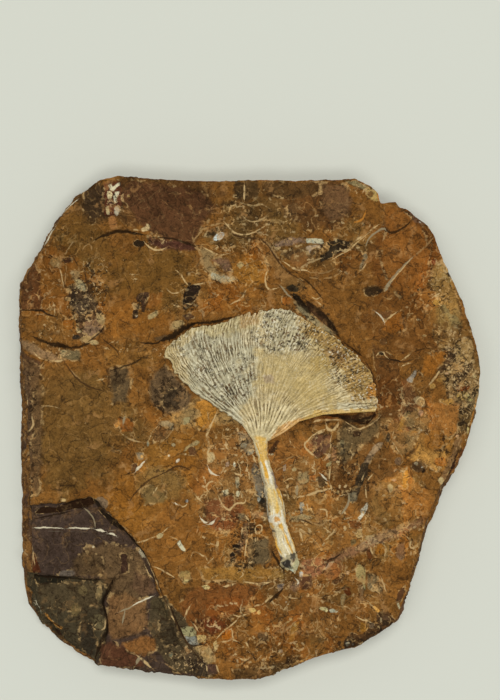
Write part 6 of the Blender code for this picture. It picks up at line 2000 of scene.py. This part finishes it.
def table_material():
    """The table's plain pale top."""
    n = Nodes("table_white")
    return n.finish(linear(TABLE_COLOUR), 0.9, n.noise(3.0), 0.01, 0.1)


# ========================================================== pieces
def make_rock():
    """The dressed slab, in place of rock_matrix."""
    points, faces, shares = rock_shape()
    x, y = points[:, 0], points[:, 1]
    rx, ry = ragged(x, y)
    ground = Ground(x, y)
    patches, _ = patch_fields(x, y)
    lines, _ = line_fields(x, y)
    chip = inside_by(CHIP, rx, ry)
    fields = {
        **patches,
        **lines,
        "tint": ground.stained(np.broadcast_to(linear(OCHRE_BROWN), (len(x), 3)), STAINS),
        "chip": chip,
        "deep_chip": inside_by(DEEP_CHIP, rx, ry),
        "flake": flake_level(x, y),
        "grain": grain(x, y),
        "out": shares,
        "pale": ground.zones(PALE_ZONES, 6),
        "dark": ground.zones(DARK_ZONES, 4),
        "wisps": ground.zones(WISP_ZONES, 14, 0.12) * (1.0 - 0.9 * smooth(0.5 + chip / 0.2)),
    }
    rock = make_object("rock", points, faces, fields, rock_material(len(patches) // 2))
    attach(rock, "root")
    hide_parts("rock_matrix")
    return rock


def make_leaf():
    """The dressed leaf, in place of ginkgo_leaf."""
    points, faces, masks = leaf_shape()
    leaf = make_object("leaf", points, faces, masks, leaf_material())
    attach(leaf, "root")
    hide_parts("ginkgo_leaf")
    return leaf


def make_table():
    """The floor under the slab. It is part of the studio, not of the object."""
    half, low = TABLE_HALF, TABLE_TOP
    corners = [(-half, -half, low), (half, -half, low), (half, half, low), (-half, half, low)]
    mesh = bpy.data.meshes.new("table")
    mesh.from_pydata(corners, [], [(0, 1, 2, 3)])
    mesh.materials.append(table_material())
    table = bpy.data.objects.new("table", mesh)
    bpy.context.scene.collection.objects.link(table)


def make_light(name, azimuth, elevation, sizes, power):
    """A soft oval lamp that faces the slab from this direction, in degrees."""
    light = bpy.data.lights.new(name, "AREA")
    light.shape = "ELLIPSE"
    light.size, light.size_y = sizes
    light.energy = power
    obj = bpy.data.objects.new(name, light)
    bpy.context.scene.collection.objects.link(obj)
    a, e = math.radians(azimuth), math.radians(elevation)
    direction = Vector((math.cos(a) * math.cos(e), math.sin(a) * math.cos(e), math.sin(e)))
    obj.location = LAMP_DISTANCE * direction
    obj.rotation_mode = "QUATERNION"
    obj.rotation_quaternion = direction.to_track_quat("Z", "Y")


def make_lights():
    """Four soft lamps high round the slab, and a pale sky."""
    for lamp in LAMPS:
        make_light(*lamp)
    world = bpy.data.worlds.new("studio")
    world.use_nodes = True
    background = world.node_tree.nodes["Background"]
    background.inputs["Color"].default_value = (*linear(SKY_COLOUR), 1.0)
    background.inputs["Strength"].default_value = SKY_STRENGTH
    bpy.context.scene.world = world


def make_camera():
    """The photograph's viewpoint: nearly straight down on the slab."""
    camera = bpy.data.cameras.new("camera")
    camera.sensor_width = SENSOR
    camera.lens = FOCAL_PIXELS / FRAME_HEIGHT * SENSOR
    camera.clip_start, camera.clip_end = 0.01, 10.0
    obj = bpy.data.objects.new("camera", camera)
    bpy.context.scene.collection.objects.link(obj)
    middle = Vector(middle_of_face())
    place, aim = Vector(CAMERA_PLACE), Vector(CAMERA_AIM)
    obj.location = (place - middle) * MM
    obj.rotation_mode = "QUATERNION"
    obj.rotation_quaternion = (aim - place).to_track_quat("-Z", "Y")
    bpy.context.scene.camera = obj


bpy.context.scene.view_settings.view_transform = "Standard"
make_rock()
make_leaf()
make_table()
make_lights()
make_camera()
